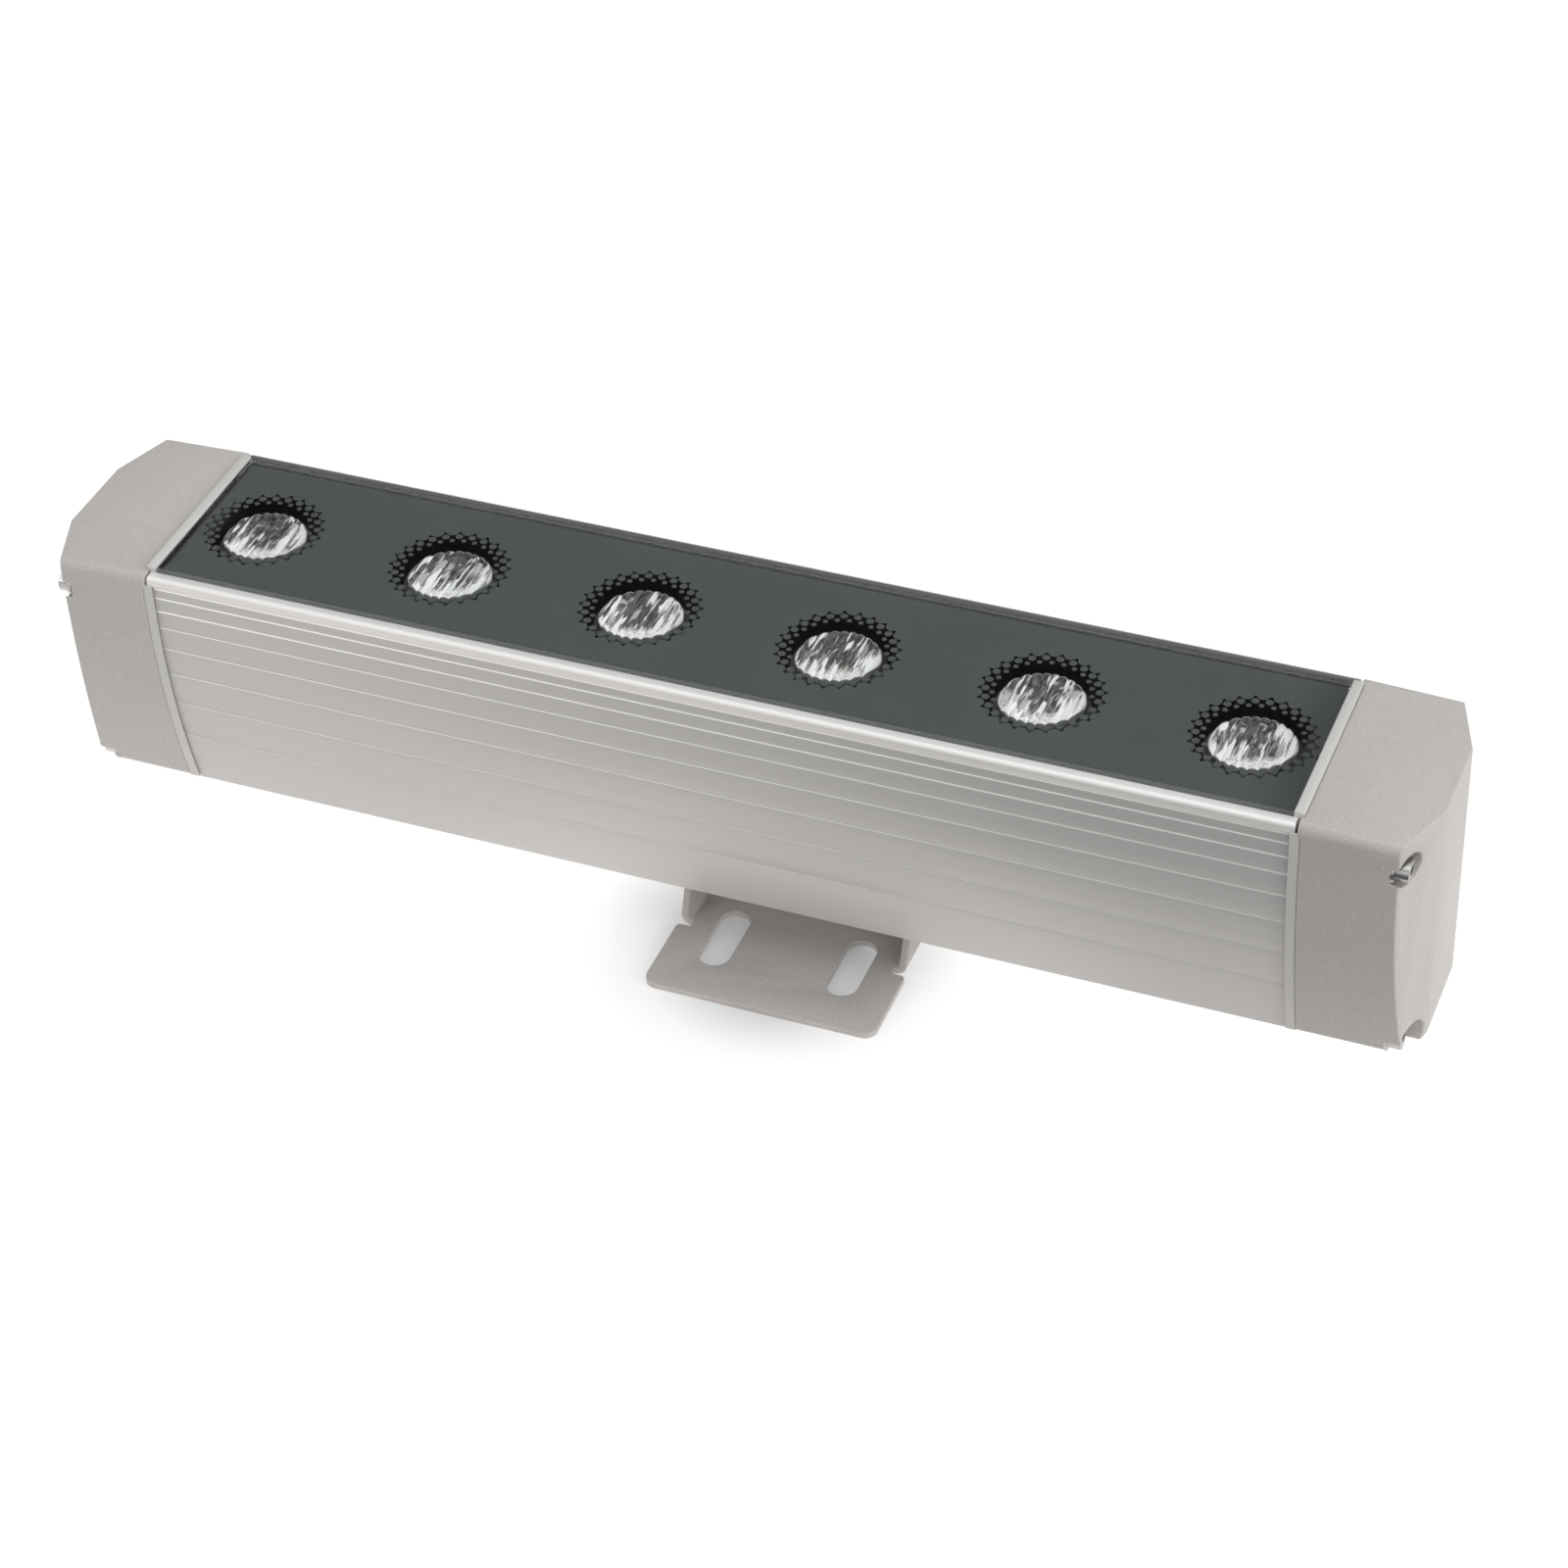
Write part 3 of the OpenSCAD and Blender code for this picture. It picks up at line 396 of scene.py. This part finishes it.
def anodised_metal(name, base, low, high, rail_z, groove_z):
    """Satin anodised aluminium with faint drawing lines along the bar.

    Light and shade are painted into the base colour: a painted highlight on the front rail,
    painted shade on the back rail's inner side, and painted highlights in the grooves, most at
    the left and high up.
    """
    metal = Material(name, Metallic=0.4)
    lines = metal.noise(1.0, detail=3.0, stretch=(0.012, 2.2, 2.2))
    grit = metal.noise(3.2, detail=2.0)
    x, y, z = metal.parts(metal.millimetres())

    # The painted shade of the back rail ends at its crest, which is this far from the back
    crest, crest_blur, rail_blur = 1.4, 0.4, 0.15
    # Painted highlight on the front rail, and painted shade on the back rail's inner side
    front_painted_highlight, back_painted_shade = 0.5, -0.75
    middle, back = (low.y + high.y) / 2 / MM, high.y / MM
    rail_painted_light = y.limited(middle, middle + 1, front_painted_highlight, back_painted_shade) \
        + y.limited(back - crest, back - crest + crest_blur, 0.0, -back_painted_shade)
    rail = z.limited(rail_z - rail_blur, rail_z + rail_blur)

    half_groove = 0.25
    # Painted highlights in the grooves, stronger high up and at the left
    low_gleam, high_gleam, left_gleam, right_gleam = 0.3, 0.8, 1.1, 0.5
    groove = z.near(groove_z[0], half_groove)
    for height in groove_z[1:]:
        groove = groove + z.near(height, half_groove)
    groove_painted_highlight = z.limited(low.z / MM, high.z / MM, low_gleam, high_gleam) \
        * x.limited(low.x / MM, high.x / MM, left_gleam, right_gleam)

    # The painted light and shade lighten and darken the base colour
    bright = rail * rail_painted_light + groove * groove_painted_highlight
    metal.surface(metal.toned(base, around(1.0, (lines, 0.05), (grit, 0.06)) + bright),
                  around(0.47, (lines, 0.06), (grit, 0.08)))
    metal.bump(lines * 0.6 + grit * 0.4, depth=0.006)
    return metal.material


def plated_steel(name, base, rough=0.24):
    """Zinc-plated steel with soft cloudy wear."""
    steel = Material(name, Metallic=1.0)
    cloud = steel.noise(0.8, detail=3.0)
    steel.surface(steel.toned(base, around(1.0, (cloud, 0.24))), around(rough, (cloud, 0.2)))
    steel.bump(steel.noise(4.0), depth=0.008)
    return steel.material


def galvanised_sheet(name):
    """Galvanised sheet with its large pale flowers."""
    sheet = Material(name, Metallic=1.0)
    flower = sheet.grains(0.22)[0]
    sheet.surface(sheet.toned((0.62, 0.63, 0.64), around(0.98, (flower, 0.2))),
                  around(0.405, (flower, 0.15)))
    sheet.bump(sheet.noise(1.2), depth=0.01)
    return sheet.material


def moulded(name, base, rough, **more):
    """Moulded plastic or rubber: one colour with a fine surface."""
    plastic = Material(name, **more)
    pebble = plastic.noise(2.0)
    plastic.surface(plastic.toned(base, around(1.0, (pebble, 0.12))),
                    around(rough, (pebble, 0.12)))
    plastic.bump(pebble, depth=0.01)
    return plastic.material


def fired_print(name, base):
    """Ceramic print, with a faint unevenness from the firing."""
    ink = Material(name)
    cloud = ink.noise(0.04, detail=1.0)
    speck = ink.noise(3.0, detail=2.0)
    ink.surface(ink.toned(base, around(1.0, (cloud, 0.1), (speck, 0.08))),
                around(0.6, (speck, 0.2)))
    return ink.material


def sheet_glass(name, tint, low, high):
    """Clear sheet glass with ground long edges."""
    glass = Material(name, Base_Color=tint, IOR=1.52, Transmission_Weight=1.0)
    ground_width, ground_blur, ground_roughness = 0.5, 0.2, 0.5
    y = glass.parts(glass.millimetres())[1] - (low.y + high.y) / 2 / MM
    edge = (high.y - low.y) / 2 / MM - ground_width
    ground = y.highest(-y).limited(edge, edge + ground_blur, 0.0, ground_roughness)
    glass.put(glass.shader.inputs["Roughness"], ground)
    glass.clear_to_lamps(glass.shader)
    return glass.material


def moulded_lens(name, middle, pitch):
    """Clear plastic with a frosted wall painted dark as shade, and milk to the front and sides.

    The milk is partly frost and partly painted reflections, and glows a little as painted light.
    """
    lens = Material(name, Base_Color=(0.60, 0.61, 0.58), IOR=1.49, Transmission_Weight=1.0,
                    Roughness=0.06)
    x, y = lens.parts(lens.millimetres())[:2]
    across = (x - middle.x / MM).wrapped(-pitch / 2 / MM, pitch / 2 / MM)
    back = y - middle.y / MM

    # Cosine and sine of the turn of the pattern on the lens
    straight, aslant = 0.93, 0.37
    side = across * straight + back * aslant
    front = across * aslant - back * straight

    # The wall is this far from the middle, and nearer to it at the front
    wall_starts, wall_ends, wall_nearer = 10.8, 11.3, 1.6
    outward = 2.0, 9.0
    radius = (across * across + back * back).root()
    wall = (radius + front.limited(*outward) * wall_nearer).limited(wall_starts, wall_ends)

    # Painted reflections: streaks show where two noises are high, and more of them far from the
    # middle
    fine_share, side_share, front_share, streak_level = 0.2, 0.16, 0.1, (0.715, 0.785)
    fine = lens.noise(1.0, detail=3.0, stretch=(2.2, 0.3, 0.5))
    coarse = lens.noise(1.0, detail=1.0, stretch=(0.75, 0.1, 0.2))
    far = side.highest(-side).limited(*outward) * side_share \
        + front.limited(-1.0, 7.5) * front_share
    streaks = (coarse + fine * fine_share + far).limited(*streak_level)

    # The front is milky all over, and unevenly so: partly frost, partly painted light
    cloud_level, least_cloud, milky_from, milky_to = (0.4, 0.56), 0.5, 4.6, 6.8
    cloud = lens.noise(0.9, detail=4.0, roughness=0.65).limited(*cloud_level, least_cloud, 1.0)
    streak_milk, fine_milk, most_milk, wall_milk = 0.92, 0.12, 0.95, 0.9
    milky = streaks.highest(front.limited(milky_from, milky_to) * cloud) * streak_milk \
        + fine.limited(0.42, 0.7) * fine_milk
    frost = milky.limited(0.0, most_milk, 0.0, most_milk).highest(wall * wall_milk)

    # The milk glows a little as painted light, and the dark of the frosted wall is painted shade
    milk_white, wall_painted_shade, milk_painted_glow = (0.96, 0.97, 0.96), (0.09, 0.095, 0.097), 0.22
    milk = lens.node("ShaderNodeBsdfPrincipled", {}, {
        "Base Color": lens.mix(wall, milk_white, wall_painted_shade), "Roughness": 0.35,
        "Emission Color": lens.mix(wall, WHITE, BLACK), "Emission Strength": milk_painted_glow})
    lens.clear_to_lamps(lens.blend(frost, lens.shader, milk))
    return lens.material


# Pieces

def deselect():
    for thing in bpy.context.selected_objects:
        thing.select_set(False)


def finish_with(things, material):
    """Puts one material on objects in place of what they have."""
    for thing in things:
        if not thing.material_slots:
            thing.data.materials.append(material)
        for place in thing.material_slots:
            place.material = material


def cad(*names):
    return [frame["nodes"][name] for name in names]


def box_centre(node):
    low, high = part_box(node)
    return (low + high) / 2


def copy_of(source, name):
    """A copy of an object with a mesh of its own, in the scene under a new name."""
    piece = source.copy()
    piece.data = source.data.copy()
    piece.name = piece.data.name = name
    bpy.context.scene.collection.objects.link(piece)
    return piece


def rounded(node, width, segments=2, corner=28.0, smooth=30.0):
    """A merged copy of a CAD node that stands for it, with its edges rounded by a width.

    Edges sharper than corner, in degrees, are rounded, and edges flatter than smooth are shaded
    smooth. The copy keeps within the node's own box.
    """
    source = frame["nodes"][node]
    body = source["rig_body"]
    piece = copy_of(source, node + "_rounded")
    for key in list(piece.keys()):
        del piece[key]
    piece.parent = None
    deselect()
    piece.select_set(True)
    bpy.context.view_layer.objects.active = piece
    bpy.ops.mesh.customdata_custom_splitnormals_clear()
    bpy.ops.object.mode_set(mode="EDIT")
    bpy.ops.mesh.select_all(action="SELECT")
    bpy.ops.mesh.remove_doubles(threshold=WELD)
    bpy.ops.mesh.dissolve_limited(angle_limit=math.radians(FLAT))
    bpy.ops.object.mode_set(mode="OBJECT")
    if width:
        bevel = piece.modifiers.new("bevel", "BEVEL")
        bevel.width = width
        bevel.segments = segments
        bevel.limit_method = "ANGLE"
        bevel.angle_limit = math.radians(corner)
        bevel.use_clamp_overlap = False
        bpy.ops.object.modifier_apply(modifier=bevel.name)
        low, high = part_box(node)
        for point in piece.data.vertices:
            point.co = [min(max(place, least), most)
                        for place, least, most in zip(point.co, low, high)]
    bpy.ops.object.shade_smooth_by_angle(angle=math.radians(smooth))
    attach(piece, body)
    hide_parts(node)
    return piece


class FLOODLIGHT_OT_bracket(bpy.types.Operator):
    """Paints the bracket and rounds its sheet edges"""
    bl_idname = "floodlight.bracket"
    bl_label = "Bracket"

    def execute(self, context):
        sizes, colours = settings(SIZES), settings(COLOURS)
        paint = powder_paint("bracket_powder", colours.bracket_paint, grain=1.1, sparkle=0.06)
        finish_with([rounded("base_bracket", sizes.sheet_edge)], paint)
        return {"FINISHED"}


class FLOODLIGHT_OT_saddle(bpy.types.Operator):
    """Finishes the saddle, its fasteners and the pivots"""
    bl_idname = "floodlight.saddle"
    bl_label = "Saddle and pivots"

    def execute(self, context):
        sizes, colours = settings(SIZES), settings(COLOURS)
        zinc = plated_steel("zinc_plate", colours.zinc)
        finish_with([rounded("saddle", sizes.sheet_edge)], galvanised_sheet("galvanised_saddle"))
        finish_with(cad("saddle_screws", "saddle_washers", "channel_nuts",
                        "pivot_screws", "pivot_washers", "pivot_nuts"), zinc)
        finish_with(cad("friction_discs"), moulded("acetal", (0.75, 0.74, 0.70), rough=0.4))
        return {"FINISHED"}


class FLOODLIGHT_OT_extrusion(bpy.types.Operator):
    """Finishes the grooved extrusion and draws its rails to their full height"""
    bl_idname = "floodlight.extrusion"
    bl_label = "Extrusion"

    def execute(self, context):
        sizes, colours = settings(SIZES), settings(COLOURS)
        low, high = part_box("extrusion")
        grooves = [(low.z + share * (high.z - low.z)) / MM for share in GROOVE_SHARES]
        metal = anodised_metal("satin_anodised", colours.anodised, low, high,
                               high.z / MM - 2 * RAIL_RADIUS, grooves)
        bar = rounded("extrusion", sizes.bar_edge, corner=40.0)
        for point in bar.data.vertices:
            if point.co.z > high.z - RAIL_RADIUS * MM:
                point.co.z += sizes.rail_rise
        finish_with([bar], metal)
        return {"FINISHED"}


class FLOODLIGHT_OT_end_caps(bpy.types.Operator):
    """Paints the cast end caps and finishes their screws and gaskets"""
    bl_idname = "floodlight.end_caps"
    bl_label = "End caps"

    def execute(self, context):
        sizes, colours = settings(SIZES), settings(COLOURS)
        paint = powder_paint("cast_powder", colours.cast_paint, grain=1.2, sparkle=0.12)
        rubber = moulded("grey_silicone", colours.gasket, rough=0.5)
        zinc = plated_steel("bright_zinc", colours.zinc, rough=0.2)
        for side in ("left", "right"):
            cap = rounded(side + "_end_cap", sizes.cast_edge, segments=3)
            self.slope(cap)
            finish_with([cap], paint)
            finish_with([rounded(side + "_end_gasket", sizes.lip_edge)], rubber)
        for name in ("end_cap_screws", "end_cap_washers"):
            fasteners = rounded(name, 0)
            self.slope(fasteners)
            finish_with([fasteners], zinc)
        return {"FINISHED"}

    @staticmethod
    def slope(piece):
        """Lowers what is high on a cap, most at its outer end, as a casting leaves its mould."""
        sizes = settings(SIZES)
        left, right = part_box("left_end_cap"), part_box("right_end_cap")
        middle = (left[0].x + right[1].x) / 2
        inner, outer = right[0].x - middle, right[1].x - middle
        top = right[1].z
        for point in piece.data.vertices:
            out = min(max((abs(point.co.x - middle) - inner) / (outer - inner), 0), 1)
            share = max(1 - (top - point.co.z) / sizes.slope_depth, 0)
            drop = sizes.inner_drop + (sizes.outer_drop - sizes.inner_drop) * out
            point.co.z -= share * drop


class FLOODLIGHT_OT_glass(bpy.types.Operator):
    """Finishes the front glass, its print and its seal"""
    bl_idname = "floodlight.glass"
    bl_label = "Printed glass"

    def execute(self, context):
        ink = fired_print("ceramic_print", settings(COLOURS).print_ink)
        clear = sheet_glass("float_glass", (0.985, 0.995, 0.99), *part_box("front_glass"))
        finish_with(cad("front_glass"), clear)
        sheet = rounded("glass_print", 0)
        sheet.data.transform(Matrix.Translation((0, 0, PRINT_LIFT)))
        finish_with([sheet], ink)
        seal = moulded("black_rubber_finish", (0.02, 0.02, 0.02), rough=0.6)
        finish_with(cad("glass_seal"), seal)
        first = self.ring_of_dots(ink)
        others = range(2, LED_COUNT + 1)
        for piece in [self.at_window(first, number) for number in others] + [first]:
            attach(piece, "head")
        return {"FINISHED"}

    @staticmethod
    def ring_of_dots(ink):
        """The dots of the first window, joined to one piece."""
        sizes = settings(SIZES)
        low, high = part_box("glass_print")
        step = math.tau / sizes.dot_count
        middle = Vector((box_centre("led_1").x, (low.y + high.y) / 2,
                         (low.z + high.z) / 2 + PRINT_LIFT))

        # Each ring's distance, diameter of dots, place of the first dot and arc without dots
        rings = (
            (sizes.large_dot_ring, sizes.large_dot, 0.25, 0),
            (sizes.small_dot_ring, sizes.small_dot, 0.75, sizes.bare_to - sizes.bare_from),
        )
        dots = []
        for ring, diameter, offset, bare in rings:
            for count in range(sizes.dot_count):
                angle = (count + offset) * step
                if (angle - sizes.bare_from) % math.tau < bare:
                    continue
                deselect()
                bpy.ops.mesh.primitive_cylinder_add(
                    vertices=sizes.dot_sides, radius=diameter / 2, depth=high.z - low.z,
                    location=middle + ring * Vector((math.cos(angle), math.sin(angle), 0)))
                dots.append(bpy.context.object)
        for dot in dots:
            dot.select_set(True)
        bpy.ops.object.join()
        piece = bpy.context.object
        bpy.ops.object.transform_apply(location=True, rotation=True, scale=True)
        piece.name = piece.data.name = "print_dots_1"
        finish_with([piece], ink)
        return piece

    @staticmethod
    def at_window(first, number):
        """A copy of the first window's dots at another window."""
        piece = copy_of(first, f"print_dots_{number}")
        along = box_centre(f"led_{number}").x - box_centre("led_1").x
        piece.data.transform(Matrix.Translation((along, 0, 0)))
        return piece


class FLOODLIGHT_OT_optics(bpy.types.Operator):
    """Finishes the lenses, their holders and what is behind them"""
    bl_idname = "floodlight.optics"
    bl_label = "Lenses"

    def execute(self, context):
        numbers = range(1, LED_COUNT + 1)
        pitch = box_centre("led_2").x - box_centre("led_1").x
        plastic = moulded_lens("lens_plastic", box_centre("lens_1"), pitch)
        for number in numbers:
            finish_with([rounded(f"lens_{number}", 0, smooth=35.0)], plastic)
        black = moulded("holder_plastic", (0.11, 0.11, 0.107), rough=0.45,
                        Specular_IOR_Level=0.25)
        shield = moulded("shield_plastic", (0.035, 0.035, 0.034), rough=0.6,
                         Specular_IOR_Level=0.15)
        phosphor = moulded("led_phosphor", (0.78, 0.70, 0.38), rough=0.35)
        mask = moulded("solder_mask", (0.75, 0.75, 0.72), rough=0.4)
        pad = moulded("thermal_silicone_finish", (0.25, 0.33, 0.45), rough=0.7)
        nylon = moulded("connector_nylon", (0.8, 0.79, 0.75), rough=0.4)
        finish_with(cad(*(f"lens_holder_{number}" for number in numbers)), black)
        finish_with(cad("light_shield"), shield)
        finish_with(cad(*(f"led_{number}" for number in numbers)), phosphor)
        finish_with(cad("led_board"), mask)
        finish_with(cad("thermal_pad"), pad)
        finish_with(cad("board_screws"), plated_steel("board_screw_zinc", (0.7, 0.7, 0.7)))
        finish_with(cad("board_connector"), nylon)
        return {"FINISHED"}


class FLOODLIGHT_OT_wiring(bpy.types.Operator):
    """Finishes the driver, the terminals, the wires and the gland"""
    bl_idname = "floodlight.wiring"
    bl_label = "Driver and wiring"

    def execute(self, context):
        edge = settings(SIZES).gland_edge
        shell = moulded("driver_shell", (0.80, 0.80, 0.78), rough=0.4)
        nylon = moulded("terminal_nylon", (0.78, 0.77, 0.70), rough=0.45)
        zinc = plated_steel("tray_screw_zinc", (0.7, 0.7, 0.7))
        brown = moulded("brown_pvc", (0.16, 0.07, 0.035), rough=0.45)
        red = moulded("red_pvc", (0.45, 0.02, 0.02), rough=0.45)
        green = moulded("green_pvc", (0.05, 0.3, 0.05), rough=0.45)
        black = moulded("gland_nylon", (0.025, 0.025, 0.025), rough=0.45)
        rubber = moulded("gland_rubber", (0.02, 0.02, 0.02), rough=0.65)
        finish_with(cad("driver_tray"), galvanised_sheet("galvanised_tray"))
        finish_with(cad("led_driver"), shell)
        finish_with(cad("terminal_block"), nylon)
        finish_with(cad("driver_screws", "terminal_screws"), zinc)
        finish_with(cad("earth_screw"), plated_steel("earth_brass", (0.75, 0.58, 0.26)))
        finish_with(cad("mains_wires"), brown)
        finish_with(cad("led_wires"), red)
        finish_with(cad("earth_wire"), green)
        finish_with([rounded("gland_body", edge), rounded("gland_nut", edge)], black)
        finish_with(cad("gland_seal"), rubber)
        return {"FINISHED"}


# Studio

class FLOODLIGHT_OT_studio(bpy.types.Operator):
    """Makes the floor, the white background, the lamp and the camera"""
    bl_idname = "floodlight.studio"
    bl_label = "Studio"

    def execute(self, context):
        studio = settings(STUDIO)
        self.floor()
        self.room(context.scene, studio)
        self.lamp(context.scene, studio)
        self.camera(context.scene, studio)
        context.scene.view_settings.view_transform = "Standard"
        return {"FINISHED"}

    @staticmethod
    def floor():
        """A floor that is white to the camera, apart from the shadow round the bracket.

        The light that it throws back is a glow, uneven because the bar mirrors it. Painted shade
        deepens the shadow round the bracket and dims the glow there, and painted light raises the
        glow round the bracket and behind the bar.
        """
        deselect()
        bpy.ops.mesh.primitive_plane_add(size=8, location=(0, 0, cad_box[0].z))
        floor = bpy.context.object
        floor.name = "floor"
        material = bpy.data.materials.new("white_floor")
        material.use_nodes = True
        finish = Finish(material.node_tree, "ShaderNodeOutputMaterial")
        x, y = finish.parts(finish.millimetres())[:2]
        reach = (x * x + y * y).root()

        # The shadow fades to white round a point near the middle of the bracket
        shadow_x, shadow_y, shadow_core, shadow_end, least_white = -6, -1, 25, 56, 0.12
        # Painted shade: the floor's own colour is darker close to the bracket
        painted_shade_tint = (0.71, 0.72, 0.735)
        tint = finish.mix(reach.limited(22, 40), painted_shade_tint, WHITE)
        shadow = finish.node("ShaderNodeBsdfDiffuse", {}, {"Color": tint})
        white = finish.glow("ShaderNodeEmission", BACKGROUND)
        left, fore = x - shadow_x, y - shadow_y
        away = (left * left + fore * fore).root()
        seen = finish.blend(away.limited(shadow_core, shadow_end, least_white, 1.0),
                            shadow, white)

        # The bar's side mirrors what is ahead of it and, lower down, what is beneath it
        near = y.limited(-95, -47)
        ahead = x.limited(-200, 80, 0.80, 0.12)
        beneath = x.limited(-20, 100, 1.1, 0.86)
        # Painted shade dims the glow under the bracket, and painted light adds a ring round it and
        # a patch behind the bar
        painted_shade_under_bracket = reach.limited(18, 30, 0.35, 1.0)
        ring_light, back_light, warm_white = 0.12, 0.6, (1, 0.965, 0.94)
        ring = reach.limited(45, 60) * reach.limited(110, 80) * ring_light
        behind = y.limited(55, 90) * reach.limited(260, 160) * back_light
        level = (ahead * (1 - near) + beneath * near) * painted_shade_under_bracket + ring + behind
        floor_glow = finish.glow("ShaderNodeEmission", level, warm_white)

        finish.show(finish.by_ray("Is Camera Ray", seen, floor_glow))
        finish_with([floor], material)

    @staticmethod
    def room(scene, studio):
        """A white background for the camera. All else sees a dark room with large soft lights."""
        world = bpy.data.worlds.new("room")
        world.use_nodes = True
        scene.world = world
        finish = Finish(world.node_tree, "ShaderNodeOutputWorld")
        x, y, z = finish.parts(finish.out(finish.node("ShaderNodeTexCoord"), "Generated"))

        # A dark card hangs in the direction in which the glass mirrors the camera's view
        card_x, card_y, card_z, card_dark = -0.306, 0.712, 0.632, 0.9
        card = (x * card_x + y * card_y + z * card_z).limited(0.965, 0.985)

        # The room's walls and roof, and the soft lights in it, by the way one looks from the part
        right_share = 0.65
        roof = z.limited(0.45, 0.7)
        front = x.limited(-0.4, 0.1, studio.front, studio.front * right_share)
        band = y.limited(-0.4, -0.55) * z.limited(0.15, 0.3) * studio.band
        walls = front + y.limited(-0.4, 0.0) * (studio.back - front) + band
        dark = (walls * (1 - roof) + roof * studio.roof) * (1 - card * card_dark)
        overhead = z.limited(0.72, 0.84) * y.limited(0.58, 0.4)
        left = x.limited(-0.15, -0.45) * z.limited(0.2, 0.4) * y.limited(0.6, 0.4)
        right = x.limited(0.47, 0.8, 0.0, studio.right) * z.limited(0.8, 0.6)
        level = dark + overhead.highest(left) * studio.box + right
        lit = finish.glow("ShaderNodeBackground", level)
        white = finish.glow("ShaderNodeBackground", BACKGROUND)
        finish.show(finish.by_ray("Is Camera Ray", white, lit))

    @staticmethod
    def lamp(scene, studio):
        """A large soft lamp on the right, aimed at the part."""
        place, target = Vector((1.8, 0.0, 0.6)), Vector((0, 0, 0.05))
        data = bpy.data.lights.new("key_light", "AREA")
        data.shape = "SQUARE"
        data.size = 1.1
        data.energy = studio.key_power
        lamp = bpy.data.objects.new("key_light", data)
        scene.collection.objects.link(lamp)
        aim = (place - target).normalized().to_track_quat("Z", "Y")
        lamp.matrix_world = Matrix.Translation(place) @ aim.to_matrix().to_4x4()

    @staticmethod
    def camera(scene, studio):
        data = bpy.data.cameras.new("camera")
        data.lens = studio.lens
        data.sensor_width = 36
        data.clip_start = 0.01
        camera = bpy.data.objects.new("camera", data)
        scene.collection.objects.link(camera)
        camera.matrix_world = Matrix.Translation(studio.eye) \
            @ Matrix.Rotation(studio.azimuth, 4, "Z") \
            @ Matrix.Rotation(math.pi / 2 - studio.elevation, 4, "X") \
            @ Matrix.Rotation(studio.roll, 4, "Z")
        scene.camera = camera


OPERATORS = (FLOODLIGHT_OT_bracket, FLOODLIGHT_OT_saddle, FLOODLIGHT_OT_extrusion,
             FLOODLIGHT_OT_end_caps, FLOODLIGHT_OT_glass, FLOODLIGHT_OT_optics,
             FLOODLIGHT_OT_wiring, FLOODLIGHT_OT_studio)


class FLOODLIGHT_PT_panel(bpy.types.Panel):
    """Lists the values and the steps that finish the floodlight"""
    bl_label = "Floodlight"
    bl_idname = "FLOODLIGHT_PT_panel"
    bl_space_type = "VIEW_3D"
    bl_region_type = "UI"
    bl_category = "Floodlight"

    def draw(self, context):
        for group in GROUPS:
            values = settings(group)
            for name in values.__annotations__:
                self.layout.prop(values, name)
        for step in OPERATORS:
            self.layout.operator(step.bl_idname)


def register():
    for kind in (*GROUPS.values(), *OPERATORS, FLOODLIGHT_PT_panel):
        bpy.utils.register_class(kind)
    for name, group in GROUPS.items():
        setattr(bpy.types.Scene, name, PointerProperty(type=group))


def unregister():
    for name in GROUPS:
        delattr(bpy.types.Scene, name)
    for kind in (FLOODLIGHT_PT_panel, *OPERATORS, *GROUPS.values()):
        bpy.utils.unregister_class(kind)


def main():
    register()
    for step in OPERATORS:
        getattr(bpy.ops.floodlight, step.bl_idname.split(".")[1])()


if __name__ == "__main__":
    main()
